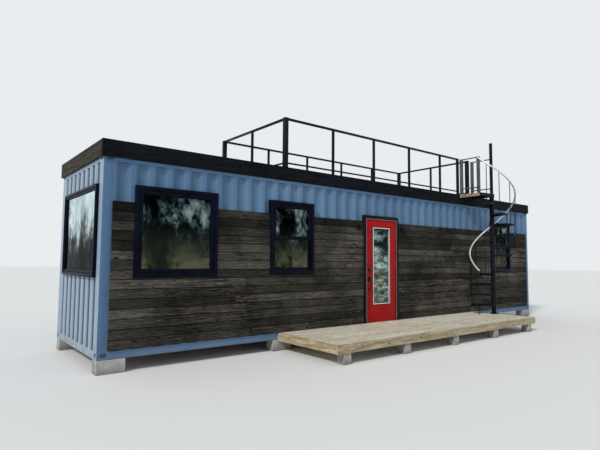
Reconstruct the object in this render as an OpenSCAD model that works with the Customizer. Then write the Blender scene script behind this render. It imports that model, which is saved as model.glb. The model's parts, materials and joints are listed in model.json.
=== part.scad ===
// Cabin made from a steel shipping box, with a timber porch, a roof deck and a spiral stair.
// All sizes are in millimetres. The folded steel walls, the board cladding and the helical
// handrail are worked out from the values below.

/* [Steel box] */
// Outside length of the box
box_l = 12192; // [10500:1:13500]
// Outside width of the box
box_w = 2438; // [2200:1:2900]
// Outside height of the box
box_h = 2896; // [2800:1:3200]
// Side of the square corner posts
post_w = 140; // [120:1:170]
// Length of a corner casting, along the box
casting_l = 178; // [172:1:200]
// Width of a corner casting, across the box
casting_w = 162; // [150:1:190]
// Height of a corner casting
casting_h = 118; // [112:1:140]
// Length of the oval hole in a casting
slot_l = 100; // [80:1:106]
// Width of the oval hole in a casting
slot_w = 62; // [50:1:70]
// Depth of the oval hole in a casting
slot_d = 30; // [20:1:40]
// Height of the bottom rails
sill_h = 110; // [90:1:117]
// Depth of the rails, in from the outside face
rail_d = 60; // [50:1:80]
// Plate thickness of the bottom rails
rail_t = 6; // [4:1:10]
// Height of the top rails
header_h = 108; // [90:1:116]
// Distance between the cross beams under the floor
beam_pitch = 610; // [400:1:900]
// Width of a cross beam
beam_w = 45; // [30:1:70]
// Gap between the cross beams and the ground side of the rails
beam_lift = 12; // [6:1:20]

/* [Walls, floor and roof] */
// Thickness of the walls, from the crest of the folds to the lining
wall_t = 120; // [100:1:138]
// Length of one fold of the steel walls
fold_l = 283; // [240:1:320]
// Flat crest of a fold
fold_crest = 72; // [50:1:90]
// Flat valley of a fold
fold_valley = 70; // [50:1:90]
// Depth of the folds
fold_d = 36; // [20:1:50]
// Thickness of the floor
floor_t = 28; // [18:1:40]
// Length of one fold of the roof
roof_fold_l = 209; // [180:1:260]
// Depth of the folds of the roof
roof_fold_d = 20; // [10:1:30]
// How far the roof panel lies below the top of the rails
roof_drop = 6; // [2:1:12]

/* [Board cladding] */
// Height of the bottom edge of the boards above the underside of the box
clad_z0 = 120; // [112:1:160]
// Height of the top edge of the boards above the underside of the box
clad_z1 = 2217; // [2000:1:2400]
// Thickness of the boards
clad_t = 30; // [18:1:40]
// Height of one board
clad_board = 140; // [90:1:200]
// Width of the groove between two boards
clad_groove = 9; // [4:1:14]
// Depth of the groove between two boards
clad_groove_d = 10; // [4:1:14]

/* [Windows] */
// Face width of the steel surround of a window
surround_w = 55; // [30:1:65]
// How far a surround stands out from the steel wall
surround_out = 50; // [45:1:80]
// Left edge of the big front window, from the left end of the box
picture_x = 451; // [300:1:700]
// Height of the underside of the big front window
picture_z = 1125; // [900:1:1200]
// Width of the big front window
picture_w = 1348; // [1000:1:1600]
// Height of the big front window
picture_h = 1346; // [1000:1:1400]
// Left edge of the sliding window, from the left end of the box
hung_x = 2838; // [2500:1:3300]
// Gap between the right sliding window and the right end of the box
hung_from_end = 1092; // [500:1:1500]
// Height of the underside of the sliding windows
hung_z = 1137; // [900:1:1250]
// Width of a sliding window
hung_w = 1000; // [700:1:1200]
// Height of a sliding window
hung_h = 1322; // [900:1:1400]
// Distance between the front corner post and the end window
end_window_gap = 30; // [10:1:200]
// Distance between the end window and the back corner post
end_window_back = 238; // [20:1:400]
// Height of the underside of the end window
end_window_z = 1130; // [900:1:1200]
// Height of the end window
end_window_h = 1338; // [1000:1:1380]
// Face width of the surround of the end window
end_surround_w = 43; // [30:1:60]
// Face width of the frame of the end window
end_frame_w = 33; // [25:1:60]
// Face width of a sash
sash_w = 44; // [35:1:70]
// Depth of one sash
sash_d = 30; // [20:1:40]
// How far the window frames lie behind the front of their surround
sash_back = 14; // [5:1:30]
// Face width of the frame round the sashes
jamb_w = 18; // [12:1:30]
// Thickness of a glass pane
glass_t = 16; // [8:1:20]

/* [Door] */
// Width of the door leaf
leaf_w = 934; // [762:1:1000]
// Height of the door leaf
leaf_h = 2148; // [1981:1:2200]
// Thickness of the door leaf
leaf_t = 45; // [35:1:55]
// Left edge of the door frame, from the left end of the box
door_x = 5180; // [4600:1:5600]
// Face width of the door frame at the sides
door_jamb = 62; // [60:1:120]
// Face width of the door frame at the top
door_head = 67; // [60:1:120]
// Running gap round the leaf
leaf_gap = 7; // [6:1:10]
// How far the door frame stands out from the steel wall
door_out = 50; // [40:1:70]
// Thickness of the lip that the leaf closes against
lip_t = 9; // [6:1:12]
// How far the lip covers the edge of the leaf
lip_cover = 6; // [6:1:14]
// Gap between the lip and the leaf
lip_gap = 6; // [5:1:8]
// Thickness of the door sill plate
sill_t = 6; // [4:1:8]
// Width of the white frame round the glass of the door
lite_w = 524; // [500:1:620]
// Height of the white frame round the glass of the door
lite_h = 1606; // [1400:1:1700]
// Height of the white frame above the foot of the leaf
lite_z = 367; // [300:1:420]
// Face width of the white frame
lite_face = 27; // [25:1:50]
// How far the white frame laps onto the leaf
lite_lap = 16; // [10:1:22]
// How far the white frame stands proud of the leaf
lite_proud = 9; // [5:1:12]
// Distance from the free edge of the leaf to the middle of the lock
lock_inset = 82; // [60:1:100]
// Height of the lock's middle above the foot of the leaf
lock_z = 880; // [800:1:960]
// Distance from the lock up to the bolt
bolt_up = 200; // [150:1:240]
// Width of the lock plate, and diameter of the round plates
plate_w = 62; // [50:1:75]
// Length of the lock plate
plate_l = 100; // [80:1:300]
// Diameter of the round plate at the foot of the grip
rose_d = 40; // [30:1:60]
// Thickness of the lock plate
plate_t = 8; // [4:1:12]
// Radius of the grip
grip_r = 9; // [7:1:12]
// Distance of the grip from the lock plate
grip_out = 48; // [38:1:60]
// Distance between the two stems of the grip
grip_l = 225; // [150:1:240]
// Radius of the knobs on the inside
knob_r = 21; // [15:1:25]
// Distance from each end of the leaf to the middle of the nearest hinge
hinge_end = 250; // [150:1:400]
// Radius of a hinge barrel
hinge_r = 7; // [5:1:9]
// Height of a hinge
hinge_h = 100; // [80:1:130]
// Length of a hinge strap
strap_l = 32; // [25:1:40]
// Thickness of a hinge strap
strap_t = 3; // [2.5:0.1:4]

/* [Lights] */
// Width of a wall light
light_w = 80; // [70:1:150]
// Height of a wall light
light_h = 100; // [80:1:150]
// Depth of a wall light
light_d = 70; // [60:1:120]
// Height of the underside of a wall light
light_z = 2028; // [1800:1:2080]
// Gap between a wall light and the door frame
light_gap = 110; // [40:1:120]
// Depth of the back plate of a wall light
light_plate_t = 15; // [8:1:25]
// How much smaller the back plate is than the light, on each side
light_plate_in = 18; // [5:1:30]

/* [Ground and porch] */
// Height of the concrete blocks under the box
block_h = 200; // [150:1:300]
// Width of a concrete block
block_w = 200; // [140:1:260]
// Length of a concrete block
block_l = 400; // [300:1:450]
// Number of pairs of blocks under the box
block_pairs = 5; // [4:1:8]
// Left end of the porch, from the left end of the box
porch_x = 3045; // [2500:1:3300]
// Length of the porch
porch_l = 6255; // [6250:1:7000]
// Depth of the porch, out from the steel wall
porch_d = 1550; // [1400:1:1900]
// Height of the porch floor above the underside of the box
porch_top = 116; // [100:1:119]
// Thickness of the porch boards
porch_board_t = 25; // [20:1:40]
// Width of one porch board with its gap
porch_board_w = 145; // [90:1:200]
// Width of the gap between porch boards
porch_gap = 6; // [3:1:10]
// Depth of the gap between porch boards
porch_gap_d = 20; // [10:1:20]
// Height of the porch frame boards
porch_rim_h = 140; // [120:1:180]
// Thickness of the porch frame boards
porch_rim_t = 38; // [30:1:50]
// Number of concrete blocks along the front of the porch
porch_blocks_n = 5; // [4:1:8]
// Side of a block under the porch
porch_block_w = 160; // [120:1:200]
// Gap between the end of the porch and its first block
porch_block_inset = 150; // [60:1:400]

/* [Roof edge and roof deck] */
// Height of the board round the edge of the roof
fascia_h = 249; // [200:1:300]
// Thickness of the board round the edge of the roof
fascia_t = 38; // [25:1:45]
// How far that board reaches down over the top rails
fascia_lap = 58; // [40:1:59]
// Height of the roof deck above the top of the box
deck_up = 154; // [120:1:180]
// Thickness of the roof deck boards
deck_board_t = 38; // [25:1:45]
// Thickness of the joists of the roof deck
deck_joist_t = 38; // [30:1:50]
// Distance between the joists of the roof deck
deck_joist_pitch = 600; // [400:1:800]
// How far the roof deck reaches past the railing posts
deck_margin = 80; // [60:1:150]

/* [Railing] */
// Left row of railing posts, from the left end of the box
rail_x0 = 3230; // [2900:1:3600]
// Right row of railing posts and stair pole, from the left end of the box
rail_x1 = 9187; // [8900:1:9250]
// Width of the gate from the roof to the stair landing, between post middles
gate_w = 435; // [420:1:560]
// Side of a corner post of the railing
rail_post = 80; // [60:1:110]
// Side of the post beside the gate
gate_post = 55; // [40:1:110]
// Side of a slim post of the railing
slim_post = 42; // [30:1:60]
// Number of bays between the slim posts along the front
rail_bays = 5; // [5:1:7]
// Gap between the railing posts and the edge of the roof
rail_inset = 38; // [20:1:80]
// Height of the railing above the roof deck
rail_h = 990; // [900:1:1100]
// Height of the top rail itself
top_bar_h = 40; // [30:1:50]
// Height of the low rail above the roof deck
low_bar_up = 125; // [80:1:200]
// Height of the low rail itself
low_bar_h = 28; // [20:1:40]

/* [Spiral stair] */
// Distance from the steel wall to the middle of the stair pole
pole_y = 600; // [595:1:700]
// Radius of the stair pole
pole_r = 38; // [30:1:45]
// How far the pole reaches above the landing
pole_up = 1293; // [1000:1:1500]
// Radius of the treads
tread_r = 530; // [480:1:535]
// Number of risers from the porch to the landing
risers = 12; // [11:1:13]
// Angle of the first baluster, which stands on the porch one step before the first tread
start_angle = 171; // [160:1:180]
// Angle of one step
step_angle = 30.3; // [27:0.1:31]
// Angle by which a tread laps over the next one
tread_lap = 2; // [1:0.5:4]
// Height of the turned down edge of a tread
tread_edge = 50; // [35:1:70]
// Plate thickness of a tread
tread_t = 6; // [4:1:10]
// Wall of the sleeves that space the treads on the pole
sleeve_t = 17; // [8:1:20]
// Radius of a stair baluster
baluster_r = 9; // [7:1:12]
// Radius of the handrail
handrail_r = 19; // [15:1:25]
// Height of the handrail above the porch at the first baluster
handrail_up = 1084; // [950:1:1150]
// Number of steps after which the handrail starts to rise less steeply, towards the landing
ease_from = 6.4; // [4:0.1:9]
// Where the handrail ends, in steps
rail_last = 11.8; // [11.7:0.01:11.85]
// Diameter of the foot plate of the pole
foot_d = 210; // [180:1:240]
// Thickness of the foot plate of the pole
foot_t = 12; // [8:1:20]
// Thickness of the landing
landing_t = 80; // [45:1:100]
// Height of the landing's guard
guard_h = 900; // [850:1:1000]
// Side of the guard's rails
guard_bar = 25; // [16:1:30]
// Side of the guard's posts
guard_post = 64; // [40:1:70]

/* [Hidden] */

$fn = 48;
// Small distance by which a cutting shape passes the face that it cuts
eps = 1;
// Clearance between round faces that touch
seat = 0.3;

paint = [0.42, 0.55, 0.66];
stain = [0.17, 0.13, 0.11];
black = [0.06, 0.07, 0.09];
pine = [0.80, 0.68, 0.50];
stone = [0.55, 0.55, 0.53];
clear = [0.35, 0.45, 0.48];
silver = [0.75, 0.77, 0.79];
red = [0.62, 0.07, 0.07];
white = [0.92, 0.92, 0.90];

// The whole model stands with the middle of its footprint on the origin
x_left = -max(fascia_t, surround_out);
x_right = box_l + fascia_t;
y_front = -porch_d;
y_back = box_w + fascia_t;
module place() translate([-(x_left + x_right) / 2, -(y_front + y_back) / 2, 0]) children();
module on_blocks() place() translate([0, 0, block_h]) children();

wall_z0 = sill_h;
wall_z1 = box_h - header_h;
side_l = box_l - 2 * post_w;
end_l = box_w - 2 * post_w;
hung_right_x = box_l - hung_from_end - hung_w;
end_window_y = post_w + end_window_gap;
end_window_w = end_l - end_window_gap - end_window_back;
clear_w = leaf_w + 2 * leaf_gap;
door_w = clear_w + 2 * door_jamb;
leaf_x = door_x + door_jamb + leaf_gap;
leaf_z = max(sill_h + sill_t, porch_top) + leaf_gap - 1;
leaf_y = -door_out + lip_t + lip_gap;
door_top = leaf_z + leaf_h + leaf_gap + door_head;
pin_x = leaf_x + leaf_w + leaf_gap - hinge_r - seat;
pin_y = leaf_y + leaf_t + hinge_r + seat;
deck_top = box_h + deck_up;
fascia_z = box_h - fascia_lap;
post_y = rail_inset + rail_post / 2;
gate_x = rail_x1 - gate_w;
rise = (deck_top - porch_top) / risers;
handrail_path_r = tread_r + seat + baluster_r;
landing_top = fascia_z + fascia_h;
guard_z = landing_top + guard_h;
hub_r = pole_r + sleeve_t;

// Points of a folded sheet along x, with y = 0 on the crests and y = depth in the valleys
function fold_points(length, count, crest, valley, depth) =
  let (pitch = length / count, ramp = (pitch - crest - valley) / 2)
  concat([[0, 0]],
    [for (i = [0:count - 1]) for (p = [[crest / 2, 0], [crest / 2 + ramp, depth],
      [crest / 2 + ramp + valley, depth], [pitch - crest / 2, 0]]) [i * pitch + p[0], p[1]]],
    [[length, 0]]);

// Outline of an oval hole, as two half circles
function oval(length, width, steps = 8) =
  let (r = width / 2, h = length / 2 - width / 2)
  [for (side = [0, 1]) for (i = [0:steps])
    let (a = -90 + 180 * side + 180 * i / steps)
    [(1 - 2 * side) * h + r * cos(a), r * sin(a)]];

// Folded wall along x, crests on y = 0 and the lining on y = wall_t
module folded_wall(length, height) {
  count = round(length / fold_l);
  linear_extrude(height)
    polygon(concat(fold_points(length, count, fold_crest, fold_valley, fold_d),
      [[length, wall_t], [0, wall_t]]));
}

// Profile drawn in the plane across the box, carried along its length
module along_x(length) rotate([90, 0, 90]) linear_extrude(length) children();

// Flat ring that stands upright, with its face across y
module ring(w, h, depth, face) difference() {
  cube([w, depth, h]);
  translate([face, -eps, face]) cube([w - 2 * face, depth + 2 * eps, h - 2 * face]);
}

module flip_x(on) if (on) mirror([1, 0, 0]) children(); else children();
module flip_y(on) if (on) mirror([0, 1, 0]) children(); else children();

// Copies of the front left corner at all four corners of the box
module at_corners() for (right = [false, true]) for (back = [false, true])
  translate([right ? box_l : 0, back ? box_w : 0, 0]) flip_x(right) flip_y(back) children();

module casting_cuts() at_corners() for (z = [0, box_h - casting_h])
  translate([0, 0, z]) cube([casting_l, casting_w, casting_h]);

module slot() linear_extrude(slot_d + eps) polygon(oval(slot_l, slot_w));

// Steel box

module corner_posts() color(paint) on_blocks() at_corners() difference() {
  union() {
    cube([post_w, post_w, box_h]);
    for (z = [0, box_h - casting_h]) translate([0, 0, z]) cube([casting_l, casting_w, casting_h]);
  }
  for (z = [casting_h / 2, box_h - casting_h / 2]) {
    translate([casting_l / 2, -eps, z]) rotate([-90, 0, 0]) slot();
    translate([-eps, casting_w / 2, z]) rotate([90, 0, 90]) slot();
  }
  translate([casting_l / 2, casting_w / 2, box_h - slot_d]) slot();
}

module base_frame() color(paint) on_blocks() {
  inner = box_l - 2 * casting_l;
  beams = round(inner / beam_pitch);
  for (back = [false, true])
    translate([casting_l, back ? box_w : 0, 0]) flip_y(back) along_x(inner)
      polygon([[0, 0], [rail_d, 0], [rail_d, rail_t], [rail_t, rail_t], [rail_t, sill_h - rail_t],
        [rail_d, sill_h - rail_t], [rail_d, sill_h], [0, sill_h]]);
  for (i = [1:beams - 1])
    translate([casting_l + i * inner / beams - beam_w / 2, rail_t, beam_lift])
      cube([beam_w, box_w - 2 * rail_t, sill_h - floor_t - beam_lift]);
  for (x = [0, box_l - rail_d])
    translate([x, casting_w, 0]) cube([rail_d, box_w - 2 * casting_w, sill_h]);
}

module top_rails() color(paint) on_blocks() {
  for (y = [0, box_w - rail_d])
    translate([casting_l, y, wall_z1]) cube([box_l - 2 * casting_l, rail_d, header_h]);
  for (x = [0, box_l - rail_d])
    translate([x, casting_w, wall_z1]) cube([rail_d, box_w - 2 * casting_w, header_h]);
}

module floor() color(pine) on_blocks() difference() {
  translate([rail_d, rail_d, sill_h - floor_t])
    cube([box_l - 2 * rail_d, box_w - 2 * rail_d, floor_t]);
  casting_cuts();
}

module roof() color(paint) on_blocks() difference() {
  length = box_l - 2 * rail_d;
  count = round(length / roof_fold_l);
  thick = header_h - roof_drop;
  ramp = length / count / 4;
  translate([rail_d, box_w - rail_d, box_h - roof_drop]) rotate([90, 0, 0])
    linear_extrude(box_w - 2 * rail_d)
      polygon(concat([for (p = fold_points(length, count, ramp, ramp, roof_fold_d)) [p[0], -p[1]]],
        [[length, -thick], [0, -thick]]));
  casting_cuts();
}

// Walls

module front_wall(x0, x1, z0) difference() {
  intersection() {
    translate([post_w, 0, wall_z0]) folded_wall(side_l, wall_z1 - wall_z0);
    translate([x0, -eps, z0]) cube([x1 - x0, wall_t + 2 * eps, wall_z1 - z0]);
  }
  casting_cuts();
}

module front_window_cuts(margin) {
  translate([picture_x, -margin, picture_z]) cube([picture_w, margin + wall_t + eps, picture_h]);
  for (x = [hung_x, hung_right_x])
    translate([x, -margin, hung_z]) cube([hung_w, margin + wall_t + eps, hung_h]);
}

module front_wall_left() color(paint) on_blocks() difference() {
  front_wall(post_w, door_x, wall_z0);
  front_window_cuts(eps);
}

module front_wall_right() color(paint) on_blocks() difference() {
  front_wall(door_x + door_w, box_l - post_w, wall_z0);
  front_window_cuts(eps);
}

module front_wall_over_door() color(paint) on_blocks() front_wall(door_x, door_x + door_w, door_top);

module back_wall() color(paint) on_blocks() difference() {
  translate([box_l - post_w, box_w, wall_z0]) rotate([0, 0, 180])
    folded_wall(side_l, wall_z1 - wall_z0);
  casting_cuts();
}

module left_end_wall() color(paint) on_blocks() difference() {
  translate([0, box_w - post_w, wall_z0]) rotate([0, 0, -90])
    folded_wall(end_l, wall_z1 - wall_z0);
  translate([-eps, end_window_y, end_window_z]) cube([wall_t + 2 * eps, end_window_w, end_window_h]);
  casting_cuts();
}

module right_end_wall() color(paint) on_blocks() difference() {
  translate([box_l, post_w, wall_z0]) rotate([0, 0, 90]) folded_wall(end_l, wall_z1 - wall_z0);
  casting_cuts();
}

// Profile of the boards, with a groove at each joint
module clad_profile() {
  height = clad_z1 - clad_z0;
  count = round(height / clad_board);
  pitch = height / count;
  polygon(concat([[0, 0], [-clad_t, 0]],
    [for (i = [1:count - 1]) for (p = [[-clad_t, -clad_groove / 2],
      [clad_groove_d - clad_t, -clad_groove / 2], [clad_groove_d - clad_t, clad_groove / 2],
      [-clad_t, clad_groove / 2]]) [p[0], i * pitch + p[1]]],
    [[-clad_t, height], [0, height]]));
}

module cladding(x0, x1) difference() {
  translate([x0, 0, clad_z0]) along_x(x1 - x0) clad_profile();
  front_window_cuts(clad_t + eps);
}

module cladding_left() color(stain) on_blocks() cladding(post_w, door_x);
module cladding_right() color(stain) on_blocks() cladding(door_x + door_w, box_l - post_w);

// Windows

module surround(w, h, face) translate([0, -surround_out, 0]) ring(w, h, surround_out + wall_t, face);

// Places for things that are drawn on the front wall or on the left end wall
module at_picture() translate([picture_x, 0, picture_z]) children();
module at_hung() for (x = [hung_x, hung_right_x]) translate([x, 0, hung_z]) children();
module at_end() translate([0, end_window_y + end_window_w, end_window_z]) rotate([0, 0, -90])
  children();

module window_surrounds() color(black) on_blocks() {
  at_picture() surround(picture_w, picture_h, surround_w);
  at_hung() surround(hung_w, hung_h, surround_w);
  at_end() surround(end_window_w, end_window_h, end_surround_w);
}

// Front face of the frames, with the corner of a ring of the given face width on the origin
module inside(face) translate([face, sash_back - surround_out, face]) children();

fixed_face = jamb_w + sash_w;
picture_in_w = picture_w - 2 * surround_w;
picture_in_h = picture_h - 2 * surround_w;
end_in_w = end_window_w - 2 * end_surround_w;
end_in_h = end_window_h - 2 * end_surround_w;

module picture_window_frames() color(black) on_blocks() {
  at_picture() inside(surround_w) ring(picture_in_w, picture_in_h, 2 * sash_d, fixed_face);
  at_end() inside(end_surround_w) ring(end_in_w, end_in_h, 2 * sash_d, end_frame_w);
}

hung_in_w = hung_w - 2 * surround_w;
hung_in_h = hung_h - 2 * surround_w;
sash_outer_w = hung_in_w - 2 * jamb_w;
sash_outer_h = hung_in_h / 2 + sash_w / 2 - jamb_w;

module sliding_window_frames() color(black) on_blocks() at_hung() inside(surround_w) {
  ring(hung_in_w, hung_in_h, 2 * sash_d, jamb_w);
  translate([jamb_w, 0, hung_in_h / 2 - sash_w / 2]) ring(sash_outer_w, sash_outer_h, sash_d, sash_w);
  translate([jamb_w, sash_d, jamb_w]) ring(sash_outer_w, sash_outer_h, sash_d, sash_w);
}

// Pane that fills a ring of the given outer size and face width
module pane(w, h, face, y) translate([face, y, face]) cube([w - 2 * face, glass_t, h - 2 * face]);

module window_glass() color(clear) on_blocks() {
  mid = sash_d - glass_t / 2;
  mid_sash = (sash_d - glass_t) / 2;
  at_picture() inside(surround_w) pane(picture_in_w, picture_in_h, fixed_face, mid);
  at_end() inside(end_surround_w) pane(end_in_w, end_in_h, end_frame_w, mid);
  at_hung() inside(surround_w) translate([jamb_w, 0, 0]) {
    translate([0, 0, hung_in_h / 2 - sash_w / 2]) pane(sash_outer_w, sash_outer_h, sash_w, mid_sash);
    translate([0, sash_d, jamb_w]) pane(sash_outer_w, sash_outer_h, sash_w, mid_sash);
  }
}

// Door

// Frame in the wall, and in front of it a flat casing that the leaf closes against
module door_frame() color(black) on_blocks() {
  clear_top = leaf_z + leaf_h + leaf_gap;
  difference() {
    translate([door_x, -door_out + lip_t, sill_h])
      cube([door_w, door_out - lip_t + wall_t, door_top - sill_h]);
    translate([door_x + door_jamb, -door_out, sill_h - eps])
      cube([clear_w, door_out + wall_t + eps, clear_top - sill_h + eps]);
    translate([door_x - eps, -door_out, sill_h - eps])
      cube([door_w + 2 * eps, door_out, porch_top - sill_h + eps]);
  }
  difference() {
    translate([door_x, -door_out, porch_top]) cube([door_w, lip_t - seat, door_top - porch_top]);
    translate([leaf_x + lip_cover, -door_out - eps, porch_top - eps])
      cube([leaf_w - 2 * lip_cover, lip_t + 2 * eps, leaf_z + leaf_h - lip_cover - porch_top + eps]);
  }
}

module door_sill() color(silver) on_blocks()
  translate([door_x + door_jamb, 0, sill_h]) cube([clear_w, wall_t, sill_t]);

module at_hinges() for (z = [hinge_end, leaf_h / 2, leaf_h - hinge_end])
  translate([pin_x, pin_y, leaf_z + z - hinge_h / 2]) children();

// Half of each hinge barrel, with a strap on the side of the frame
module frame_hinge_halves() color(silver) on_blocks() at_hinges() {
  cylinder(r = hinge_r, h = (hinge_h - seat) / 2);
  translate([hinge_r + seat - strap_t, 0, 0]) cube([strap_t, strap_l, (hinge_h - seat) / 2]);
}

// The other half, with a strap on the inside face of the leaf
module door_hinge_halves() color(silver) on_blocks() at_hinges()
  translate([0, 0, (hinge_h + seat) / 2]) {
    cylinder(r = hinge_r, h = (hinge_h - seat) / 2);
    translate([-strap_l, -hinge_r - seat, 0]) cube([strap_l, strap_t, (hinge_h - seat) / 2]);
  }

module door_leaf() color(red) on_blocks() translate([leaf_x, leaf_y, leaf_z]) difference() {
  cube([leaf_w, leaf_t, leaf_h]);
  translate([(leaf_w - lite_w) / 2 + lite_lap, -eps, lite_z + lite_lap])
    cube([lite_w - 2 * lite_lap, leaf_t + 2 * eps, lite_h - 2 * lite_lap]);
}

module at_lite() translate([leaf_x + (leaf_w - lite_w) / 2, leaf_y, leaf_z + lite_z]) children();

module door_glass_frame() color(white) on_blocks() at_lite() difference() {
  union() {
    translate([lite_lap, 0, lite_lap])
      cube([lite_w - 2 * lite_lap, leaf_t, lite_h - 2 * lite_lap]);
    for (y = [-lite_proud, leaf_t]) translate([0, y, 0]) cube([lite_w, lite_proud, lite_h]);
  }
  translate([lite_face, -lite_proud - eps, lite_face])
    cube([lite_w - 2 * lite_face, leaf_t + 2 * lite_proud + 2 * eps, lite_h - 2 * lite_face]);
}

module door_glass() color(clear) on_blocks() at_lite()
  translate([lite_face, leaf_t / 2 - glass_t / 2, lite_face])
    cube([lite_w - 2 * lite_face, glass_t, lite_h - 2 * lite_face]);

// Lock set: round bolt plate above a long plate with a bowed grip, and knobs inside
module door_handle() color(black) on_blocks()
  translate([leaf_x + lock_inset, leaf_y, leaf_z + lock_z]) {
    grip_z = plate_w / 2 - grip_l;
    translate([0, 0, bolt_up]) rotate([90, 0, 0]) cylinder(d = plate_w, h = 2 * plate_t);
    translate([-plate_w / 2, -plate_t, plate_w - plate_l]) cube([plate_w, plate_t, plate_l]);
    translate([0, 0, grip_z]) rotate([90, 0, 0]) cylinder(d = rose_d, h = plate_t);
    for (z = [0, grip_l])
      translate([0, -plate_t, grip_z + z]) rotate([90, 0, 0]) cylinder(r = grip_r, h = grip_out);
    translate([0, -plate_t - grip_out, grip_z - grip_r]) cylinder(r = grip_r, h = grip_l + 2 * grip_r);
    for (z = [0, bolt_up]) translate([0, leaf_t, z]) rotate([-90, 0, 0]) {
      cylinder(d = plate_w, h = plate_t);
      cylinder(r = knob_r, h = grip_out);
    }
  }

module wall_lights() color(black) on_blocks()
  for (x = [door_x - light_gap - light_w, door_x + door_w + light_gap])
    translate([x, -clad_t, light_z]) {
      translate([0, -light_d, 0]) cube([light_w, light_d - light_plate_t, light_h]);
      translate([light_plate_in, -light_plate_t, light_plate_in])
        cube([light_w - 2 * light_plate_in, light_plate_t, light_h - 2 * light_plate_in]);
    }

// Ground and porch

module foundation_blocks() color(stone) place()
  for (i = [0:block_pairs - 1]) for (y = [0, box_w - block_w])
    translate([i * (box_l - block_l) / (block_pairs - 1), y, 0]) cube([block_l, block_w, block_h]);

porch_in_l = porch_l - 2 * porch_rim_t;
porch_in_d = porch_d - porch_rim_t;

module porch_boards() color(pine) on_blocks() {
  count = round(porch_in_d / porch_board_w);
  pitch = porch_in_d / count;
  low = porch_top - porch_board_t;
  groove_z = porch_top - porch_gap_d;
  translate([porch_x + porch_rim_t, -porch_in_d, 0]) along_x(porch_in_l)
    polygon(concat([[0, low], [0, porch_top]],
      [for (i = [1:count - 1]) for (p = [[-porch_gap / 2, porch_top], [-porch_gap / 2, groove_z],
        [porch_gap / 2, groove_z], [porch_gap / 2, porch_top]]) [i * pitch + p[0], p[1]]],
      [[porch_in_d, porch_top], [porch_in_d, low]]));
}

module porch_frame() color(pine) on_blocks() {
  z0 = porch_top - porch_rim_h;
  bays = round(porch_in_l / beam_pitch);
  translate([porch_x, -porch_d, z0]) cube([porch_l, porch_rim_t, porch_rim_h]);
  for (x = [porch_x, porch_x + porch_l - porch_rim_t])
    translate([x, -porch_d, z0]) cube([porch_rim_t, porch_d, porch_rim_h]);
  translate([porch_x, -porch_rim_t, z0]) cube([porch_l, porch_rim_t, porch_rim_h - porch_board_t]);
  for (i = [1:bays - 1])
    translate([porch_x + porch_rim_t + i * porch_in_l / bays - porch_rim_t / 2, -porch_d, z0])
      cube([porch_rim_t, porch_d, porch_rim_h - porch_board_t]);
}

module porch_blocks() color(stone) place() {
  span = porch_l - 2 * porch_block_inset - porch_block_w;
  for (i = [0:porch_blocks_n - 1])
    translate([porch_x + porch_block_inset + i * span / (porch_blocks_n - 1),
      -porch_d + porch_rim_t / 2, 0])
      cube([porch_block_w, porch_block_w, block_h + porch_top - porch_rim_h]);
}

// Roof edge and deck

// Boards round the edge of the roof; the landing of the stair is level with their top
module parapet_front() color(stain) on_blocks()
  translate([-fascia_t, -fascia_t, fascia_z]) cube([box_l + 2 * fascia_t, fascia_t, fascia_h]);

module parapet_back() color(stain) on_blocks()
  translate([-fascia_t, box_w, fascia_z]) cube([box_l + 2 * fascia_t, fascia_t, fascia_h]);

module parapet_ends() color(stain) on_blocks() for (x = [-fascia_t, box_l])
  translate([x, 0, fascia_z]) cube([fascia_t, box_w, fascia_h]);

deck_x0 = rail_x0 - rail_post / 2 - deck_margin;
deck_x1 = rail_x1 + rail_post / 2 + deck_margin;

// Deck boards over joists that rest on the rails of the roof
module roof_deck() color(pine) on_blocks() {
  length = deck_x1 - deck_x0;
  bays = round(length / deck_joist_pitch);
  translate([deck_x0, 0, deck_top - deck_board_t]) cube([length, box_w, deck_board_t]);
  for (i = [0:bays])
    translate([deck_x0 + i * (length - deck_joist_t) / bays, 0, box_h])
      cube([deck_joist_t, box_w, deck_up - deck_board_t]);
}

// Railing

module rail_upright(x, y, side) translate([x - side / 2, y - side / 2, deck_top])
  cube([side, side, rail_h]);

module railing_posts() color(black) on_blocks() {
  for (x = [rail_x0, rail_x1]) for (y = [post_y, box_w - post_y]) rail_upright(x, y, rail_post);
  rail_upright(gate_x, post_y, gate_post);
}

// Panel along x between two posts, with a slim post at every bay, a top rail and a low rail
module rail_panel(length, bay, end_post) {
  inner = length - (rail_post + end_post) / 2;
  translate([rail_post / 2, -top_bar_h / 2, rail_h - top_bar_h]) cube([inner, top_bar_h, top_bar_h]);
  translate([rail_post / 2, -low_bar_h / 2, low_bar_up]) cube([inner, low_bar_h, low_bar_h]);
  for (x = [bay : bay : length - slim_post])
    translate([x - slim_post / 2, -slim_post / 2, 0])
      cube([slim_post, slim_post, rail_h - top_bar_h / 2]);
}

rail_bay = (rail_x1 - rail_x0) / rail_bays;
rail_side = box_w - 2 * post_y;

module railing_front() color(black) on_blocks() translate([rail_x0, post_y, deck_top])
  rail_panel(gate_x - rail_x0, rail_bay, gate_post);
module railing_back() color(black) on_blocks() translate([rail_x0, box_w - post_y, deck_top])
  rail_panel(rail_x1 - rail_x0, rail_bay, rail_post);
module railing_left() color(black) on_blocks() translate([rail_x0, post_y, deck_top])
  rotate([0, 0, 90]) rail_panel(rail_side, rail_side / 2, rail_post);
module railing_right() color(black) on_blocks() translate([rail_x1, post_y, deck_top])
  rotate([0, 0, 90]) rail_panel(rail_side, rail_side / 2, rail_post);

// Spiral stair

module at_pole() on_blocks() translate([rail_x1, -pole_y, 0]) children();

module stair_pole() color(black) at_pole() {
  translate([0, 0, porch_top]) cylinder(d = foot_d, h = foot_t);
  translate([0, 0, porch_top]) cylinder(r = pole_r, h = landing_top + pole_up - porch_top);
}

// Bore for the pole, through something of the given height that hangs below z = 0
module pole_bore(height) translate([0, 0, -height - eps]) cylinder(r = pole_r + seat, h = height + 2 * eps);

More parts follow.
